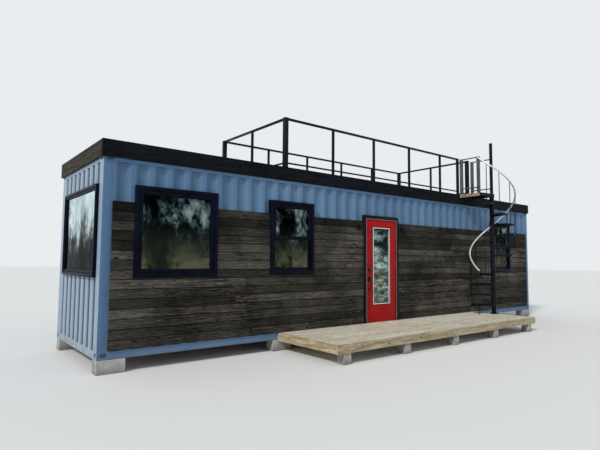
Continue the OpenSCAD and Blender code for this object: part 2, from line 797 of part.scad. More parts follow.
// Upright wedge with its point on the pole's axis and its middle along x
module wedge(half_angle, reach, height) linear_extrude(height)
  polygon([[0, 0], [reach * cos(half_angle), -reach * sin(half_angle)],
    [reach * cos(half_angle), reach * sin(half_angle)]]);

// Tread as a pan with turned down edges, on a sleeve that reaches down to the piece below
module tread(sleeve_h) {
  half = step_angle / 2 + tread_lap;
  reach = tread_r / cos(half) + eps;
  shift = tread_t / sin(half);
  difference() {
    union() {
      translate([0, 0, -tread_edge]) intersection() {
        cylinder(r = tread_r, h = tread_edge);
        wedge(half, reach, tread_edge);
      }
      translate([0, 0, -sleeve_h]) cylinder(r = hub_r, h = sleeve_h);
    }
    translate([0, 0, -tread_edge - eps]) difference() {
      intersection() {
        cylinder(r = tread_r - tread_t, h = tread_edge - tread_t + eps);
        translate([shift, 0, 0]) wedge(half, reach, tread_edge - tread_t + eps);
      }
      cylinder(r = hub_r, h = tread_edge + eps);
    }
    pole_bore(sleeve_h);
  }
}

function step_turn(n) = start_angle - n * step_angle;

module stair_treads() color(black) at_pole() for (n = [1:risers - 1])
  translate([0, 0, porch_top + n * rise]) rotate([0, 0, step_turn(n)])
    tread(rise - seat - (n == 1 ? foot_t : 0));

// Middle line of the handrail: a helix as steep as the stair, then a little less steep, so that
// it ends at the height of the landing's guard
rail_first = -0.12;
rail_drop = porch_top + handrail_up + rail_last * rise - (guard_z - handrail_r);
function rail_z(n) = porch_top + handrail_up + n * rise
  - rail_drop * max(0, n - ease_from) / (rail_last - ease_from);
function rail_point(n) =
  [handrail_path_r * cos(step_turn(n)), handrail_path_r * sin(step_turn(n)), rail_z(n)];

module stair_balusters() color(black) at_pole() {
  slope = rise / (handrail_path_r * step_angle * PI / 180);
  drop = handrail_r * sqrt(1 + slope * slope) + baluster_r * slope + seat;
  for (n = [0:risers - 1]) {
    foot = n == 0 ? porch_top : porch_top + n * rise - tread_edge;
    translate([rail_point(n)[0], rail_point(n)[1], foot])
      cylinder(r = baluster_r, h = rail_z(n) - drop - foot);
  }
}

// Ring of points round a point of a path, square to its direction
function ring_points(p, q, radius, sides) =
  let (along = (q - p) / norm(q - p),
    side = cross(along, [0, 0, 1]) / norm(cross(along, [0, 0, 1])),
    up = cross(side, along))
  [for (k = [0:sides - 1]) p + radius * (cos(360 * k / sides) * side + sin(360 * k / sides) * up)];

module stair_handrail() color(silver) at_pole() {
  sides = 12;
  rings = 48;
  step = (rail_last - rail_first) / (rings - 1);
  rows = [for (i = [0:rings - 1]) let (n = rail_first + i * step)
    ring_points(rail_point(n), rail_point(n) + rail_point(n + step / 2) - rail_point(n - step / 2),
      handrail_r, sides)];
  polyhedron(points = [for (row = rows) for (p = row) p],
    faces = concat(
      [[for (k = [0:sides - 1]) k]],
      [for (i = [0:rings - 2]) for (k = [0:sides - 1])
        [i * sides + k, (i + 1) * sides + k, (i + 1) * sides + (k + 1) % sides, i * sides + (k + 1) % sides]],
      [[for (k = [0:sides - 1]) (rings - 1) * sides + sides - 1 - k]]));
}

// Landing: a pan from the last tread to the edge of the roof, with the pole through its hub.
// The handrail ends at its free corner, beside the post of the guard.
rail_end = rail_point(rail_last);
landing_x0 = rail_end[0] + handrail_r + seat;
landing_x1 = guard_post / 2;
landing_y0 = rail_end[1] - guard_post / 2;
landing_y1 = pole_y - fascia_t;
landing_turn = step_turn(risers - 0.5);
landing_step = tread_r - guard_post;

// Outline against the clock, from the roof edge round the free corner to the pole
landing_outline = [[landing_x1, landing_y1], [landing_x0, landing_y1], [landing_x0, landing_y0],
  landing_step * [cos(landing_turn), sin(landing_turn)], [0, -hub_r], [landing_x1, -hub_r]];

function left_of(v) = [-v[1], v[0]] / norm(v);

// Outline moved in by a distance, with each corner where the moved sides meet
function inset(points, d) = let (count = len(points)) [for (i = [0:count - 1])
  let (n0 = left_of(points[i] - points[(i + count - 1) % count]),
    n1 = left_of(points[(i + 1) % count] - points[i]))
  points[i] + d * (n0 + n1) / (1 + n0 * n1)];

module landing() color(black) at_pole() translate([0, 0, landing_top]) {
  hub_h = landing_top - porch_top - (risers - 1) * rise - seat;
  difference() {
    union() {
      translate([0, 0, -landing_t]) linear_extrude(landing_t) polygon(landing_outline);
      translate([0, 0, -hub_h]) cylinder(r = hub_r, h = hub_h);
    }
    translate([0, 0, -landing_t - eps]) difference() {
      linear_extrude(landing_t - tread_t + eps) polygon(inset(landing_outline, tread_t));
      cylinder(r = hub_r, h = landing_t);
    }
    pole_bore(hub_h);
  }
}

// Guard along y, with its middle on x = 0, two rails and a post at the edge of the roof
module guard(length, near_post) {
  for (z = [low_bar_up, guard_h - guard_bar])
    translate([-guard_bar / 2, 0, z]) cube([guard_bar, length, guard_bar]);
  for (y = near_post ? [0, length - guard_post] : [length - guard_post])
    translate([-guard_post / 2, y, 0]) cube([guard_post, guard_post, guard_h]);
}

module landing_guards() color(black) at_pole() translate([0, 0, landing_top]) {
  translate([landing_x0 + guard_post / 2, landing_y0, 0]) guard(landing_y1 - landing_y0, true);
  difference() {
    guard(landing_y1, false);
    cylinder(r = pole_r + seat, h = pole_up);
  }
}

foundation_blocks();
corner_posts();
base_frame();
top_rails();
floor();
roof();
roof_deck();
parapet_front();
parapet_back();
parapet_ends();
front_wall_left();
front_wall_right();
front_wall_over_door();
back_wall();
left_end_wall();
right_end_wall();
cladding_left();
cladding_right();
window_surrounds();
picture_window_frames();
sliding_window_frames();
window_glass();
door_frame();
door_sill();
frame_hinge_halves();
door_leaf();
door_hinge_halves();
door_glass_frame();
door_glass();
door_handle();
wall_lights();
porch_boards();
porch_frame();
porch_blocks();
railing_posts();
railing_front();
railing_back();
railing_left();
railing_right();
stair_pole();
stair_treads();
stair_balusters();
stair_handrail();
landing();
landing_guards();
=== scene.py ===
# %% [markdown]
# A cabin made from a steel shipping box, dressed for its portrait. The construction comes in as a frame
# of named nodes, in metres: +X runs along the box to the right, +Y from the porch to the back, +Z up.
# This lesson adds what a carpenter and a painter would add: single boards, moulded frames, screws, and a
# finish for every surface.

import json
import math

import bmesh
import bpy
import numpy as np
from mathutils import Matrix, Vector


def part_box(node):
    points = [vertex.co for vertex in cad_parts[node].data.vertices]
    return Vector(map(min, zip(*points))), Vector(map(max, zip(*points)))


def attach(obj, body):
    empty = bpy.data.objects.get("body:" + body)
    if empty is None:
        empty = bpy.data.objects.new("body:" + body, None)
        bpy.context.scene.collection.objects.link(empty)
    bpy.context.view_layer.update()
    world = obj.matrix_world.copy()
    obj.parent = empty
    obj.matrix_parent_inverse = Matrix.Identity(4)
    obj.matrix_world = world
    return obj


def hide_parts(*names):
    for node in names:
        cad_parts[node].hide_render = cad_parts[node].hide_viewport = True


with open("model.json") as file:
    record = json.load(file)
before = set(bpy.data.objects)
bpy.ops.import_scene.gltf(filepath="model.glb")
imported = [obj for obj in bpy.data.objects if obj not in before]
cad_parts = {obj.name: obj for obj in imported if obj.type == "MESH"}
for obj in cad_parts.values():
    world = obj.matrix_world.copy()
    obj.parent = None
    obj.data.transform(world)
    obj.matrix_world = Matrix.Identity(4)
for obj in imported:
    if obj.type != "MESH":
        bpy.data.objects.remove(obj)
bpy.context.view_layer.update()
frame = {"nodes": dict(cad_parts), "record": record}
print("nodes in the frame:", len(frame["nodes"]))

# %% [markdown]
# The steel box is the ruler for everything on it. The maker of a window measures from the front left
# foot of the box, and such numbers can be checked on the real thing, so they are kept, and a helper
# turns them into places in the frame.

# %% Places on the steel box
X, Y, Z = np.eye(3)


def corners(node):
    """Lowest and highest corner of a node of the frame, as arrays."""
    return tuple(np.array(corner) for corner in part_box(node))


box_low, box_high = corners("corner_posts")


def on_box(x, y, z):
    """A place measured from the front left foot of the steel box, as a place in the frame."""
    return box_low + np.array([x, y, z])


print("steel box:", np.round(box_high - box_low, 3))

# %% [markdown]
# The camera stands where the photo was taken: 7 m in front of the wall, a little left of the cabin, at
# eye height. It could be turned by eye; here its place, angles and lens were solved from the corners of
# the steel box, whose size is known.

# %% Camera
IMAGE_WIDTH = 600
FOCAL_PIXELS = 473.3
SENSOR_WIDTH = 36
FARTHEST = 200
CAMERA_PLACE = (-1.913, -6.871, 1.402)
YAW = math.radians(38.37)
PITCH = math.radians(4.21)
ROLL = math.radians(0.47)


def add_object(name, data):
    """An object for a mesh, a lamp or a camera, linked to the scene."""
    made = bpy.data.objects.new(name, data)
    bpy.context.scene.collection.objects.link(made)
    return made


# A camera at rest looks down; it is rolled, then tilted up from there, then turned to the right.
camera_data = bpy.data.cameras.new("camera")
camera_data.sensor_width = SENSOR_WIDTH
camera_data.lens = FOCAL_PIXELS * SENSOR_WIDTH / IMAGE_WIDTH
camera_data.clip_end = FARTHEST
camera = add_object("camera", camera_data)
turned = Matrix.Rotation(-YAW, 4, "Z") @ Matrix.Rotation(math.pi / 2 + PITCH, 4, "X")
camera.matrix_world = (Matrix.Translation(on_box(*CAMERA_PLACE)) @ turned
                       @ Matrix.Rotation(ROLL, 4, "Z"))
bpy.context.scene.camera = camera
print("lens:", round(camera_data.lens, 2), "mm")

# %% [markdown]
# Shader nodes are often wired by hand, which hides the thought behind them. Here a small class wraps a
# socket, so that (1 - mask) * 0.5 adds two Math nodes. Every other kind of node comes from one method,
# which sets the node's own settings before it links or fills its sockets.


# %% A socket that does maths
def operator(operation, swapped=False):
    """A method that adds a Math node of its value and another; swapped, the other comes first."""
    def method(self, other=0.0):
        pair = (other, self) if swapped else (self, other)
        return self.node("Math", {"operation": operation}, dict(enumerate(pair)))
    return method


class Wire:
    """A socket of a shader node. Arithmetic on it adds Math nodes; above and below give 1 or 0."""

    def __init__(self, tree, socket=None):
        self.tree = tree
        self.socket = socket

    def node(self, kind, settings=None, inputs=None, out=0):
        """Adds a node, sets its settings, then fills or links its inputs; gives an output, if any."""
        made = self.tree.nodes.new("ShaderNode" + kind)
        for name, value in (settings or {}).items():
            setattr(made, name, value)
        for name, value in (inputs or {}).items():
            if isinstance(value, Wire):
                self.tree.links.new(value.socket, made.inputs[name])
            else:
                made.inputs[name].default_value = value
        return Wire(self.tree, made.outputs[out] if made.outputs else None)

    __add__ = __radd__ = operator("ADD")
    __mul__ = __rmul__ = operator("MULTIPLY")
    __sub__ = operator("SUBTRACT")
    __rsub__ = operator("SUBTRACT", swapped=True)
    above = operator("GREATER_THAN")
    below = operator("LESS_THAN")
    least = operator("MINIMUM")
    most = operator("MAXIMUM")
    size = operator("ABSOLUTE")
    fraction = operator("FRACT")

    def span(self, low, high):
        """0 below low, 1 above high, smooth between; with low above high the other way round."""
        return self.node("MapRange", {"interpolation_type": "SMOOTHSTEP"},
                         {"Value": self, "From Min": low, "From Max": high})

    def stretched(self, x, y, z):
        """A place with each axis multiplied: a pattern read there is squeezed along that axis."""
        return self.node("VectorMath", {"operation": "MULTIPLY"}, {0: self, 1: (x, y, z)})

    def moved(self, vector):
        """A place with a vector added, so that a pattern read there differs from the one here."""
        return self.node("VectorMath", {"operation": "ADD"}, {0: self, 1: vector})

    def noise(self, scale, detail=3.0, roughness=0.55):
        """Cloudy pattern with a middle of 0.5 at this place; scale is in blobs to the metre."""
        return self.node("TexNoise", None,
                         {"Vector": self, "Scale": scale, "Detail": detail, "Roughness": roughness})

    def cells(self, scale=1.0):
        """Distance from this place to the nearest of many scattered points, in cells."""
        return self.node("TexVoronoi", None, {"Vector": self, "Scale": scale})

    def mix(self, low, high):
        """Colour that goes from low to high as this value goes from 0 to 1."""
        low, high = [(*c, 1) if isinstance(c, tuple) else c for c in (low, high)]
        return self.node("Mix", {"data_type": "RGBA"}, {0: self, 6: low, 7: high}, out=2)

    def shade(self, amount):
        """This colour multiplied by a value that varies, through a grey of that value."""
        grey = self.node("CombineColor", None, {0: amount, 1: amount, 2: amount})
        return self.node("Mix", {"data_type": "RGBA", "blend_type": "MULTIPLY"},
                         {0: 1.0, 6: self, 7: grey}, out=2)

    def axes(self):
        """The three coordinates of a place."""
        made = self.node("SeparateXYZ", None, {0: self}).socket.node
        return [Wire(self.tree, made.outputs[i]) for i in range(3)]

    def facing(self):
        """The three parts of the direction in which the surface looks, each from -1 to 1."""
        return self.node("NewGeometry", out="Normal").axes()


print("a wire can:", ", ".join(name for name in vars(Wire) if name[0] != "_"))

# %% [markdown]
# Every finish begins and ends alike: an empty material that knows the place being shaded, in metres on
# the object, and one physical shader. So no surface needs unwrapping for it and a pattern has its real
# size. What is the same all over a surface is set on the shader's own sockets.

# %% Begin and end of a finish
finishes = {}


def new_material(name):
    """An empty material among the finishes; gives the wire of the place that is being shaded."""
    material = bpy.data.materials.new(name)
    material.use_nodes = True
    tree = material.node_tree
    tree.nodes.clear()
    finishes[name] = material
    return Wire(tree).node("TexCoord", out="Object")


def finish_surface(place, colour, roughness, bump=None, bump_depth=0.001, **sockets):
    """Ends the newest finish with a colour, a roughness, a bump in metres and other sockets."""
    inputs = {"Base Color": colour, "Roughness": roughness}
    if bump is not None:
        waves = {"Strength": 1.0, "Distance": bump_depth, "Height": bump}
        inputs["Normal"] = place.node("Bump", None, waves)
    for name, value in sockets.items():
        inputs[name.replace("_", " ").title().replace("Ior", "IOR")] = value
    shader = place.node("BsdfPrincipled", None, inputs)
    place.node("OutputMaterial", None, {"Surface": shader})
    print(list(finishes)[-1], "has", len(place.tree.nodes), "shader nodes")


print("finishes so far:", len(finishes))

# %% [markdown]
# Paint on a steel box fades, is streaked by rain, and gathers mud at its foot and grime on the roof. An
# image would have to be painted for each wall; here all that follows from the place, and so does painted
# light: painted shade on the front near its left end and in the folds, and painted sunlight that makes
# the end wall paler. One node shows both sides of a wall, so the room's own box decides where the pale
# lining is.

# %% Paint of the steel box
ROOM_MARGIN = 0.075
ROOM_FLOOR = 0.109
END_THICK = 0.05
LINING = (0.74, 0.72, 0.67)
PAINT_DEEP = (0.088, 0.18, 0.315)
PAINT_FADED = (0.128, 0.24, 0.395)
PAINT_LEFT_SHADE = (0.062, 0.128, 0.23)
PAINT_SUNLIT_END = (0.32, 0.405, 0.49)
PAINT_FOLD_SHADE = (0.045, 0.078, 0.118)
ROOF_GRIME = (0.205, 0.205, 0.19)
RAIN_STREAK = (0.06, 0.09, 0.12)
MUD = (0.16, 0.135, 0.105)
MUD_HEIGHT = 0.35


def room_mask(place):
    """1 inside the room, 0 outside, worked out from the box that the corner posts give."""
    x, y, z = place.axes()
    low = box_low + ROOM_MARGIN
    high = box_high - ROOM_MARGIN
    sides = x.above(low[0]) * x.below(high[0]) * y.above(low[1]) * y.below(high[1])
    return sides * z.above(box_low[2] + ROOM_FLOOR) * z.below(high[2])


def depth_in_wall(place):
    """How far a place lies behind the nearest outer face of the steel box, in metres."""
    x, y, _ = place.axes()
    to_end = (x - box_low[0]).least(box_high[0] - x)
    to_side = (y - box_low[1]).least(box_high[1] - y)
    return to_end.least(to_side)


# Two blues in clouds, then one layer after another, each mixed in by its own mask.
place = new_material("container_paint")
x, y, z = place.axes()
facing = place.facing()
fade = place.stretched(0.8, 0.8, 0.35).noise(1.0, 4.0)
paint = fade.span(0.3, 0.75).mix(PAINT_DEEP, PAINT_FADED)
at_end = x.below(box_low[0] + END_THICK) * y.above(box_low[1] + 0.003)
# Painted shade: the front wall is darker near its left end.
left_shade = x.span(box_low[0] + 0.75, box_low[0] + END_THICK) * (1 - at_end)
paint = (left_shade * 0.45).mix(paint, PAINT_LEFT_SHADE)
# Painted sunlight: the end wall is paler than the front, in clouds of the fade.
paint = (at_end * (0.62 + fade * 0.5)).mix(paint, PAINT_SUNLIT_END)
# Painted shade in the folds: darker the deeper behind the outer face, most in the end wall's slanted
# corners.
depth = depth_in_wall(place)
slanted = (facing[0] * facing[1]).size().span(0.1, 0.3)
crease_shade = depth.span(0.014, 0.028) * slanted
folds = depth.span(0.003, 0.026) * (0.26 + at_end * 0.24) + crease_shade * at_end * 0.48
paint = folds.mix(paint, PAINT_FOLD_SHADE)
grime = place.stretched(1.0, 0.5, 1.0).noise(2.4, 5.0, 0.65).span(0.3, 0.74)
lies = facing[2].span(0.6, 0.98) * (0.1 + grime * 0.62)
paint = lies.mix(paint, ROOF_GRIME)
streaks = place.stretched(26, 26, 0.7).noise(1.0, 4.0).span(0.52, 0.8)
paint = (streaks * 0.22).mix(paint, RAIN_STREAK)
splash = z.span(box_low[2] + MUD_HEIGHT, box_low[2]) * place.noise(9.0, 4.0).span(0.35, 0.7)
paint = (splash * 0.45).mix(paint, MUD)
colour = room_mask(place).mix(paint, LINING)
dents = place.noise(2.2, 2.0) + place.noise(260.0, 1.0) * 0.02
finish_surface(place, colour, 0.44 + fade * 0.16 + splash * 0.2, dents, 0.005, specular_ior_level=0.3)

# %% [markdown]
# Sawn boards are the face of this cabin. One pattern over the whole wall would run straight through the
# joints. So each board has its own tone, an attribute of its faces, and its grain runs along its own UV
# map, in metres, whichever way the board is laid.


# %% Grain of wood
def wood(name, dark, middle, light, grey, grain_width, tone_range, roughness, depth=0.0025,
         shine=0.1, clouds=0.4, shadows=0.0, rows=None):
    """Wood of planks with a dark, a middle and a light colour, and grey where it has weathered.

    Streaks, grain, flecks and cracks are clouds read in a lane of the board, far longer than wide.
    rows gives the lowest edge and the height of the rows of a wall, whose edges damp has darkened,
    and the foot of the top row, which is darker. Such a wall has painted light: it is lighter towards
    its right end.
    """
    place = new_material(name)
    u, v, _ = place.node("UVMap", {"uv_map": "UVMap"}).axes()
    board = place.node("Attribute", {"attribute_name": "board"}, out="Fac")
    lane = place.node("CombineXYZ", None, {0: u + board * 37.0, 1: v, 2: board * 11.0})
    weather = place.stretched(0.9, 0.9, 1.3).noise(1.0, 4.0, 0.6).span(0.36, 0.64)
    streak = lane.stretched(1.6, grain_width, 1).noise(1.0, 6.0, 0.72).span(0.36, 0.66)
    grain = lane.stretched(7, 120, 1).noise(1.0, 3.0, 0.7)
    flecks = lane.stretched(10, 48, 1).noise(1.0, 2.0, 0.7).span(0.56, 0.68)
    knots = lane.stretched(2.6, 7, 1).cells().span(0.17, 0.04)
    cracks = lane.stretched(2.5, 210, 1).noise(1.0, 2.0).span(0.58, 0.7)
    saw_marks = lane.stretched(190, 3, 1).noise(1.0, 1.0)
    two_tone = streak.mix(dark, middle)
    three_tone = (grain.span(0.46, 0.7) * streak).mix(two_tone, light)
    aged = (weather * clouds).mix(three_tone, grey)
    marks = knots.most(flecks.most(cracks) * 0.75)
    tone = (board * 91.7).fraction() * tone_range + (1 - tone_range * 0.5)
    if rows:
        x, _, z = place.axes()
        part = ((z - rows[0]) * (1 / rows[1])).fraction()
        marks = marks.most((part - 0.5).size().span(0.41, 0.49) * 0.55)
        # Painted light: the boards grow lighter towards the wall's right end.
        lit_to_right = x.span(box_low[0] + 1.0, box_low[0] + 8.0)
        tone = tone * (1 - z.above(rows[2]) * 0.44) * (0.88 + lit_to_right * 0.24)
    if shadows:
        darker = place.moved((7.0, 0.0, 3.0)).noise(1.1, 3.0).span(0.44, 0.66)
        tone = tone * (1 - darker * shadows)
    marked = marks.mix(aged, tuple(c * 0.4 for c in dark))
    colour = marked.shade(tone * (0.66 + grain * 0.68))
    bump = grain * 0.7 + saw_marks * 0.3 + streak * 0.4 - cracks * 0.6
    finish_surface(place, colour, roughness + grain * 0.2, bump, depth, specular_ior_level=shine)


print("the recipe for wood is ready")

# %% [markdown]
# Five kinds of board come from that recipe. The wall's are nearly black, with tan grain where the stain
# has worn off. The roof edge is blacker in front and browner at the ends, the front's darkness partly a
# darker stain and partly painted shade. The porch is bare pine, paler on top than on its rim, which is
# browner and darker by a painted shade.

# %% Kinds of wood
CLAD_ROW = 0.1403


def clad_rows(node):
    """Corners of one cladding, measured on the box, its number of rows and the height of a row."""
    low, high = (corner - box_low for corner in corners(node))
    rows = int(round((high[2] - low[2]) / CLAD_ROW))
    return low, high, rows, (high[2] - low[2]) / rows


clad_low, clad_high, _, clad_pitch = clad_rows("cladding_left")
wood("stained_boards", (0.008, 0.008, 0.008), (0.055, 0.049, 0.041), (0.202, 0.172, 0.13),
     grey=(0.114, 0.11, 0.089), grain_width=42, tone_range=1.28, roughness=0.7, clouds=0.42,
     shadows=0.5,
     rows=(clad_low[2] + box_low[2], clad_pitch, clad_high[2] - clad_pitch + box_low[2]))
# The front boards: partly a darker stain, partly painted shade, as the front is the shaded side.
wood("stained_edge_front", (0.003, 0.004, 0.007), (0.009, 0.011, 0.016), (0.026, 0.027, 0.031),
     grey=(0.014, 0.017, 0.024), grain_width=20, tone_range=0.4, roughness=0.7, shine=0.06)
wood("stained_edge_ends", (0.017, 0.015, 0.011), (0.068, 0.06, 0.044), (0.165, 0.148, 0.11),
     grey=(0.096, 0.09, 0.07), grain_width=22, tone_range=0.5, roughness=0.72)
wood("porch_pine", (0.5, 0.44, 0.32), (0.74, 0.69, 0.56), (0.88, 0.84, 0.71),
     grey=(0.7, 0.67, 0.58), grain_width=18, tone_range=0.16, roughness=0.62, depth=0.0012,
     shine=0.2, clouds=0.35)
# The rim: browner pine, and darker than the top by painted shade.
wood("rim_pine", (0.3, 0.23, 0.13), (0.52, 0.44, 0.29), (0.7, 0.61, 0.43),
     grey=(0.5, 0.46, 0.35), grain_width=16, tone_range=0.2, roughness=0.64, depth=0.0012,
     shine=0.2)

# %% [markdown]
# The floor inside is sealed plywood, seen through the glass and the open door. It could be laid in
# boards, but nobody comes close to it: one long grain on the place itself is enough.

# %% Floor inside
# Grain 13 times longer than wide, with broad patches, between two browns.
place = new_material("inside_floor")
grain = place.stretched(3, 40, 3).noise(1.0, 5.0)
tone = (grain * 0.8 + place.noise(0.9, 3.0) * 0.3).span(0.3, 0.9)
colour = tone.mix((0.2, 0.125, 0.07), (0.42, 0.29, 0.18))
finish_surface(place, colour, 0.38 + grain * 0.2, grain, 0.0006)

# %% [markdown]
# Black steel, window frames and the door are painted, which shows at two scales: a fine orange peel
# breaks up the reflection, and soft patches are where dust or hands have dulled it. A plain colour would
# show neither. One recipe serves all seven paints.

# %% Painted metal
DUST = (0.3, 0.28, 0.25)


def painted(name, low, high, roughness, dust=0.0, **sockets):
    """Paint that goes from low to high in soft patches; dust lies on what faces up."""
    place = new_material(name)
    patches = place.noise(3.1, 4.0)
    peel = place.noise(420.0, 1.0)
    colour = patches.span(0.3, 0.7).mix(low, high)
    rough = roughness + patches * 0.12
    if dust:
        lies = place.facing()[2].span(0.4, 0.95) * place.noise(34.0, 5.0).span(0.25, 0.75) * dust
        colour = lies.mix(colour, DUST)
        rough = rough + lies * 0.3
    finish_surface(place, colour, rough, peel + patches * 2, 0.0005, **sockets)


painted("black_steel", (0.003, 0.004, 0.007), (0.009, 0.01, 0.014), 0.36, dust=0.13,
        specular_ior_level=0.09)
painted("window_black", (0.0015, 0.0025, 0.008), (0.0035, 0.006, 0.015), 0.36, dust=0.1,
        specular_ior_level=0.05)
painted("door_red", (0.31, 0.007, 0.006), (0.41, 0.01, 0.008), 0.32, specular_ior_level=0.09)
painted("door_white", (0.76, 0.75, 0.75), (0.86, 0.85, 0.85), 0.34)
painted("guard_grey", (0.04, 0.052, 0.068), (0.085, 0.105, 0.13), 0.34, dust=0.1,
        specular_ior_level=0.3)
painted("strip_grey", (0.3, 0.25, 0.26), (0.42, 0.35, 0.36), 0.45)
painted("handrail_silver", (0.6, 0.62, 0.64), (0.76, 0.77, 0.78), 0.3, metallic=0.35)

# %% [markdown]
# Three surfaces have marks of their own. The stair's landing is black, with painted sunlight as a tan
# on its left side; the door's sill is brushed by feet, and the blocks are cast grey and damp at the foot.
# A mask or a stretched cloud says where, so no image is needed.

# %% Sunlit steel, worn sill and concrete
# Black paint, with painted sunlight, a mottled tan, where x is within 4 mm of the landing's left side.
place = new_material("landing_steel")
sunlit_side = place.axes()[0].below(corners("landing")[0][0] + 0.004)
tan_mottle = place.noise(14.0, 5.0).span(0.3, 0.7)
sunlit_tan = tan_mottle.mix((0.17, 0.125, 0.095), (0.4, 0.33, 0.265))
colour = sunlit_side.mix((0.01, 0.012, 0.012), sunlit_tan)
finish_surface(place, colour, 0.4 + tan_mottle * 0.2, tan_mottle, 0.0005, specular_ior_level=0.09)

# Clouds stretched 50 times along x are the brushing; round ones are the stains.
place = new_material("sill_metal")
brushed = place.stretched(6, 300, 300).noise(1.0, 2.0)
stains = place.noise(12.0, 4.0)
colour = stains.span(0.3, 0.75).mix((0.74, 0.75, 0.76), (0.52, 0.53, 0.54))
finish_surface(place, colour, 0.22 + brushed * 0.2 + stains * 0.15, brushed, 0.0002, metallic=0.9)

# Two greys in clouds, dark pores near scattered points, and damp in the lowest 0.1 m.
place = new_material("concrete")
pores = place.cells(170.0).span(0.1, 0.28)
damp = place.axes()[2].span(0.1, 0.0)
colour = place.noise(5.0, 6.0, 0.6).span(0.3, 0.7).mix((0.27, 0.265, 0.25), (0.46, 0.45, 0.43))
colour = (damp * 0.5).mix(colour, (0.15, 0.13, 0.105))
grit = place.noise(320.0, 2.0)
finish_surface(place, colour.shade(0.8 + pores * 0.2), 0.88, pores + grit * 0.4, 0.0015)

# %% [markdown]
# Window glass is nearly clear, so by day the dark room behind it makes it a mirror. This bare studio
# would leave the mirror blank, so a reflection is painted on the pane: its metallic share and colour are
# high above a horizon line and low below it, in clouds, and bands of painted light lie on the door's
# glass. Faint waves bend it, as a real pane is never flat.

# %% Glass
HORIZON = 1.75
GLASS_DARK = (0.02, 0.052, 0.054)
GLASS_REFLECTION_BELOW = (0.19, 0.195, 0.11)
GLASS_REFLECTION_ABOVE = (0.74, 0.94, 0.94)

# Painted reflection: bright above the horizon and dim below it, both in clouds of noise; painted bands of
# light in the door.
place = new_material("window_glass")
x, _, z = place.axes()
waves = place.noise(2.3, 1.0)
dirt = place.noise(7.0, 5.0).span(0.45, 0.85)
cloud = place.stretched(1.2, 1.2, 0.8).noise(2.6, 7.0, 0.72)
painted_light_bands = place.stretched(1.6, 1.6, 4.0).noise(1.6, 5.0, 0.7)
height = z - (box_low[2] + HORIZON) + (cloud - 0.5) * 1.8
at_end = x.below(box_low[0] + 0.06)
door_low, door_high = corners("door_glass")
at_door = x.above(door_low[0] - 0.01) * x.below(door_high[0] + 0.01)
painted_reflection_above = height.span(-0.35, 0.5) * (at_end * 0.6 + cloud.span(0.44, 0.64) * 0.4 + 0.02) * (1 - at_door)
painted_reflection_above = painted_reflection_above + at_door * (0.05 + painted_light_bands.span(0.4, 0.68) * 0.42)
painted_reflection_below = height.span(0.25, -0.4) * (0.3 + cloud.span(0.4, 0.62) * 0.9)
painted_reflection_below = painted_reflection_below * (1 - at_end * 0.8)
colour = painted_reflection_above.span(0.0, 0.75).mix(painted_reflection_below.mix(GLASS_DARK, GLASS_REFLECTION_BELOW), GLASS_REFLECTION_ABOVE)
finish_surface(place, colour, 0.02 + dirt * 0.05, waves, 0.0012, metallic=painted_reflection_above + painted_reflection_below * 0.46,
               transmission_weight=1.0, ior=1.03)

# %% [markdown]
# Every node of the frame names the slot of its finish in the record, so one loop does what could be done
# by hand. What is still plain after this is replaced further down.

# %% Finish of the construction
SLOTS = {part["node"]: part["material_slot"] for part in frame["record"]["subparts"]}
for node, slot in SLOTS.items():
    materials = frame["nodes"][node].data.materials
    materials.clear()
    materials.append(finishes[slot])
print("nodes finished:", len(SLOTS))

# %% [markdown]
# Nearly every new piece is a profile carried along a path: a plank, a moulding, a gasket, a handrail.
# Each could be a curve with a bevel, but a grid of points that numpy works out at once is exact, closes
# its own ends and gives every face its place in metres.


# %% Profiles carried along a path
def carry(profile, places, side, up, closed=False):
    """Grid of points: place[i] + profile[j, 0] * side[i] + profile[j, 1] * up[i].

    side and up give the profile's two directions at each place. At a mitred corner the side is
    longer than 1, so that the profile keeps its width on both legs.
    """
    profile = np.asarray(profile, float)
    places = np.asarray(places, float)
    side = np.broadcast_to(side, places.shape)
    up = np.broadcast_to(up, places.shape)
    points = (places[:, None] + profile[None, :, 0, None] * side[:, None]
              + profile[None, :, 1, None] * up[:, None])
    return {"points": points, "profile": profile, "places": places, "closed": closed}


def grid_faces(rows, count, closed):
    """Four corners of each face between neighbouring rows; the profile always closes on itself."""
    i = np.arange(rows if closed else rows - 1)[:, None]
    j = np.arange(count)[None, :]
    next_i = (i + 1) % rows
    next_j = (j + 1) % count
    around = [i * count + j, next_i * count + j, next_i * count + next_j, i * count + next_j]
    return np.stack(around, -1).reshape(-1, 4)


def cap_faces(start, count, flip):
    """A profile's end as strips between point k and its mirror image count - 1 - k."""
    k = np.arange(count // 2 - 1)
    faces = np.stack([k, k + 1, count - 2 - k, count - 1 - k], -1) + start
    return faces[:, ::-1] if flip else faces


print("faces between two rows of four points:", len(grid_faces(2, 4, False)))

# %% [markdown]
# Points and faces alone aren't a board yet: its pattern needs places in metres on the surface, and its
# faces have to look outwards. Blender could recalculate the normals; the sign of the volume tells the
# same in one sum.


# %% From a grid to a patch
def measure(points, closed):
    """Distance along a row of points, with the way back to the first point where it is closed."""
    ring = np.concatenate([points, points[:1]]) if closed else points
    steps = np.linalg.norm(np.diff(ring, axis=0), axis=1)
    return np.concatenate([[0], np.cumsum(steps)])


def signed_volume(points, faces):
    """A sixth of the sum of a . (b x c) over all triangles: negative if the faces look inwards."""
    a, b, c, d = (points[faces[:, i]] for i in range(4))
    halves = [np.einsum("ij,ij->i", a, np.cross(*pair)) for pair in ((b, c), (c, d))]
    return (halves[0] + halves[1]).sum() / 6


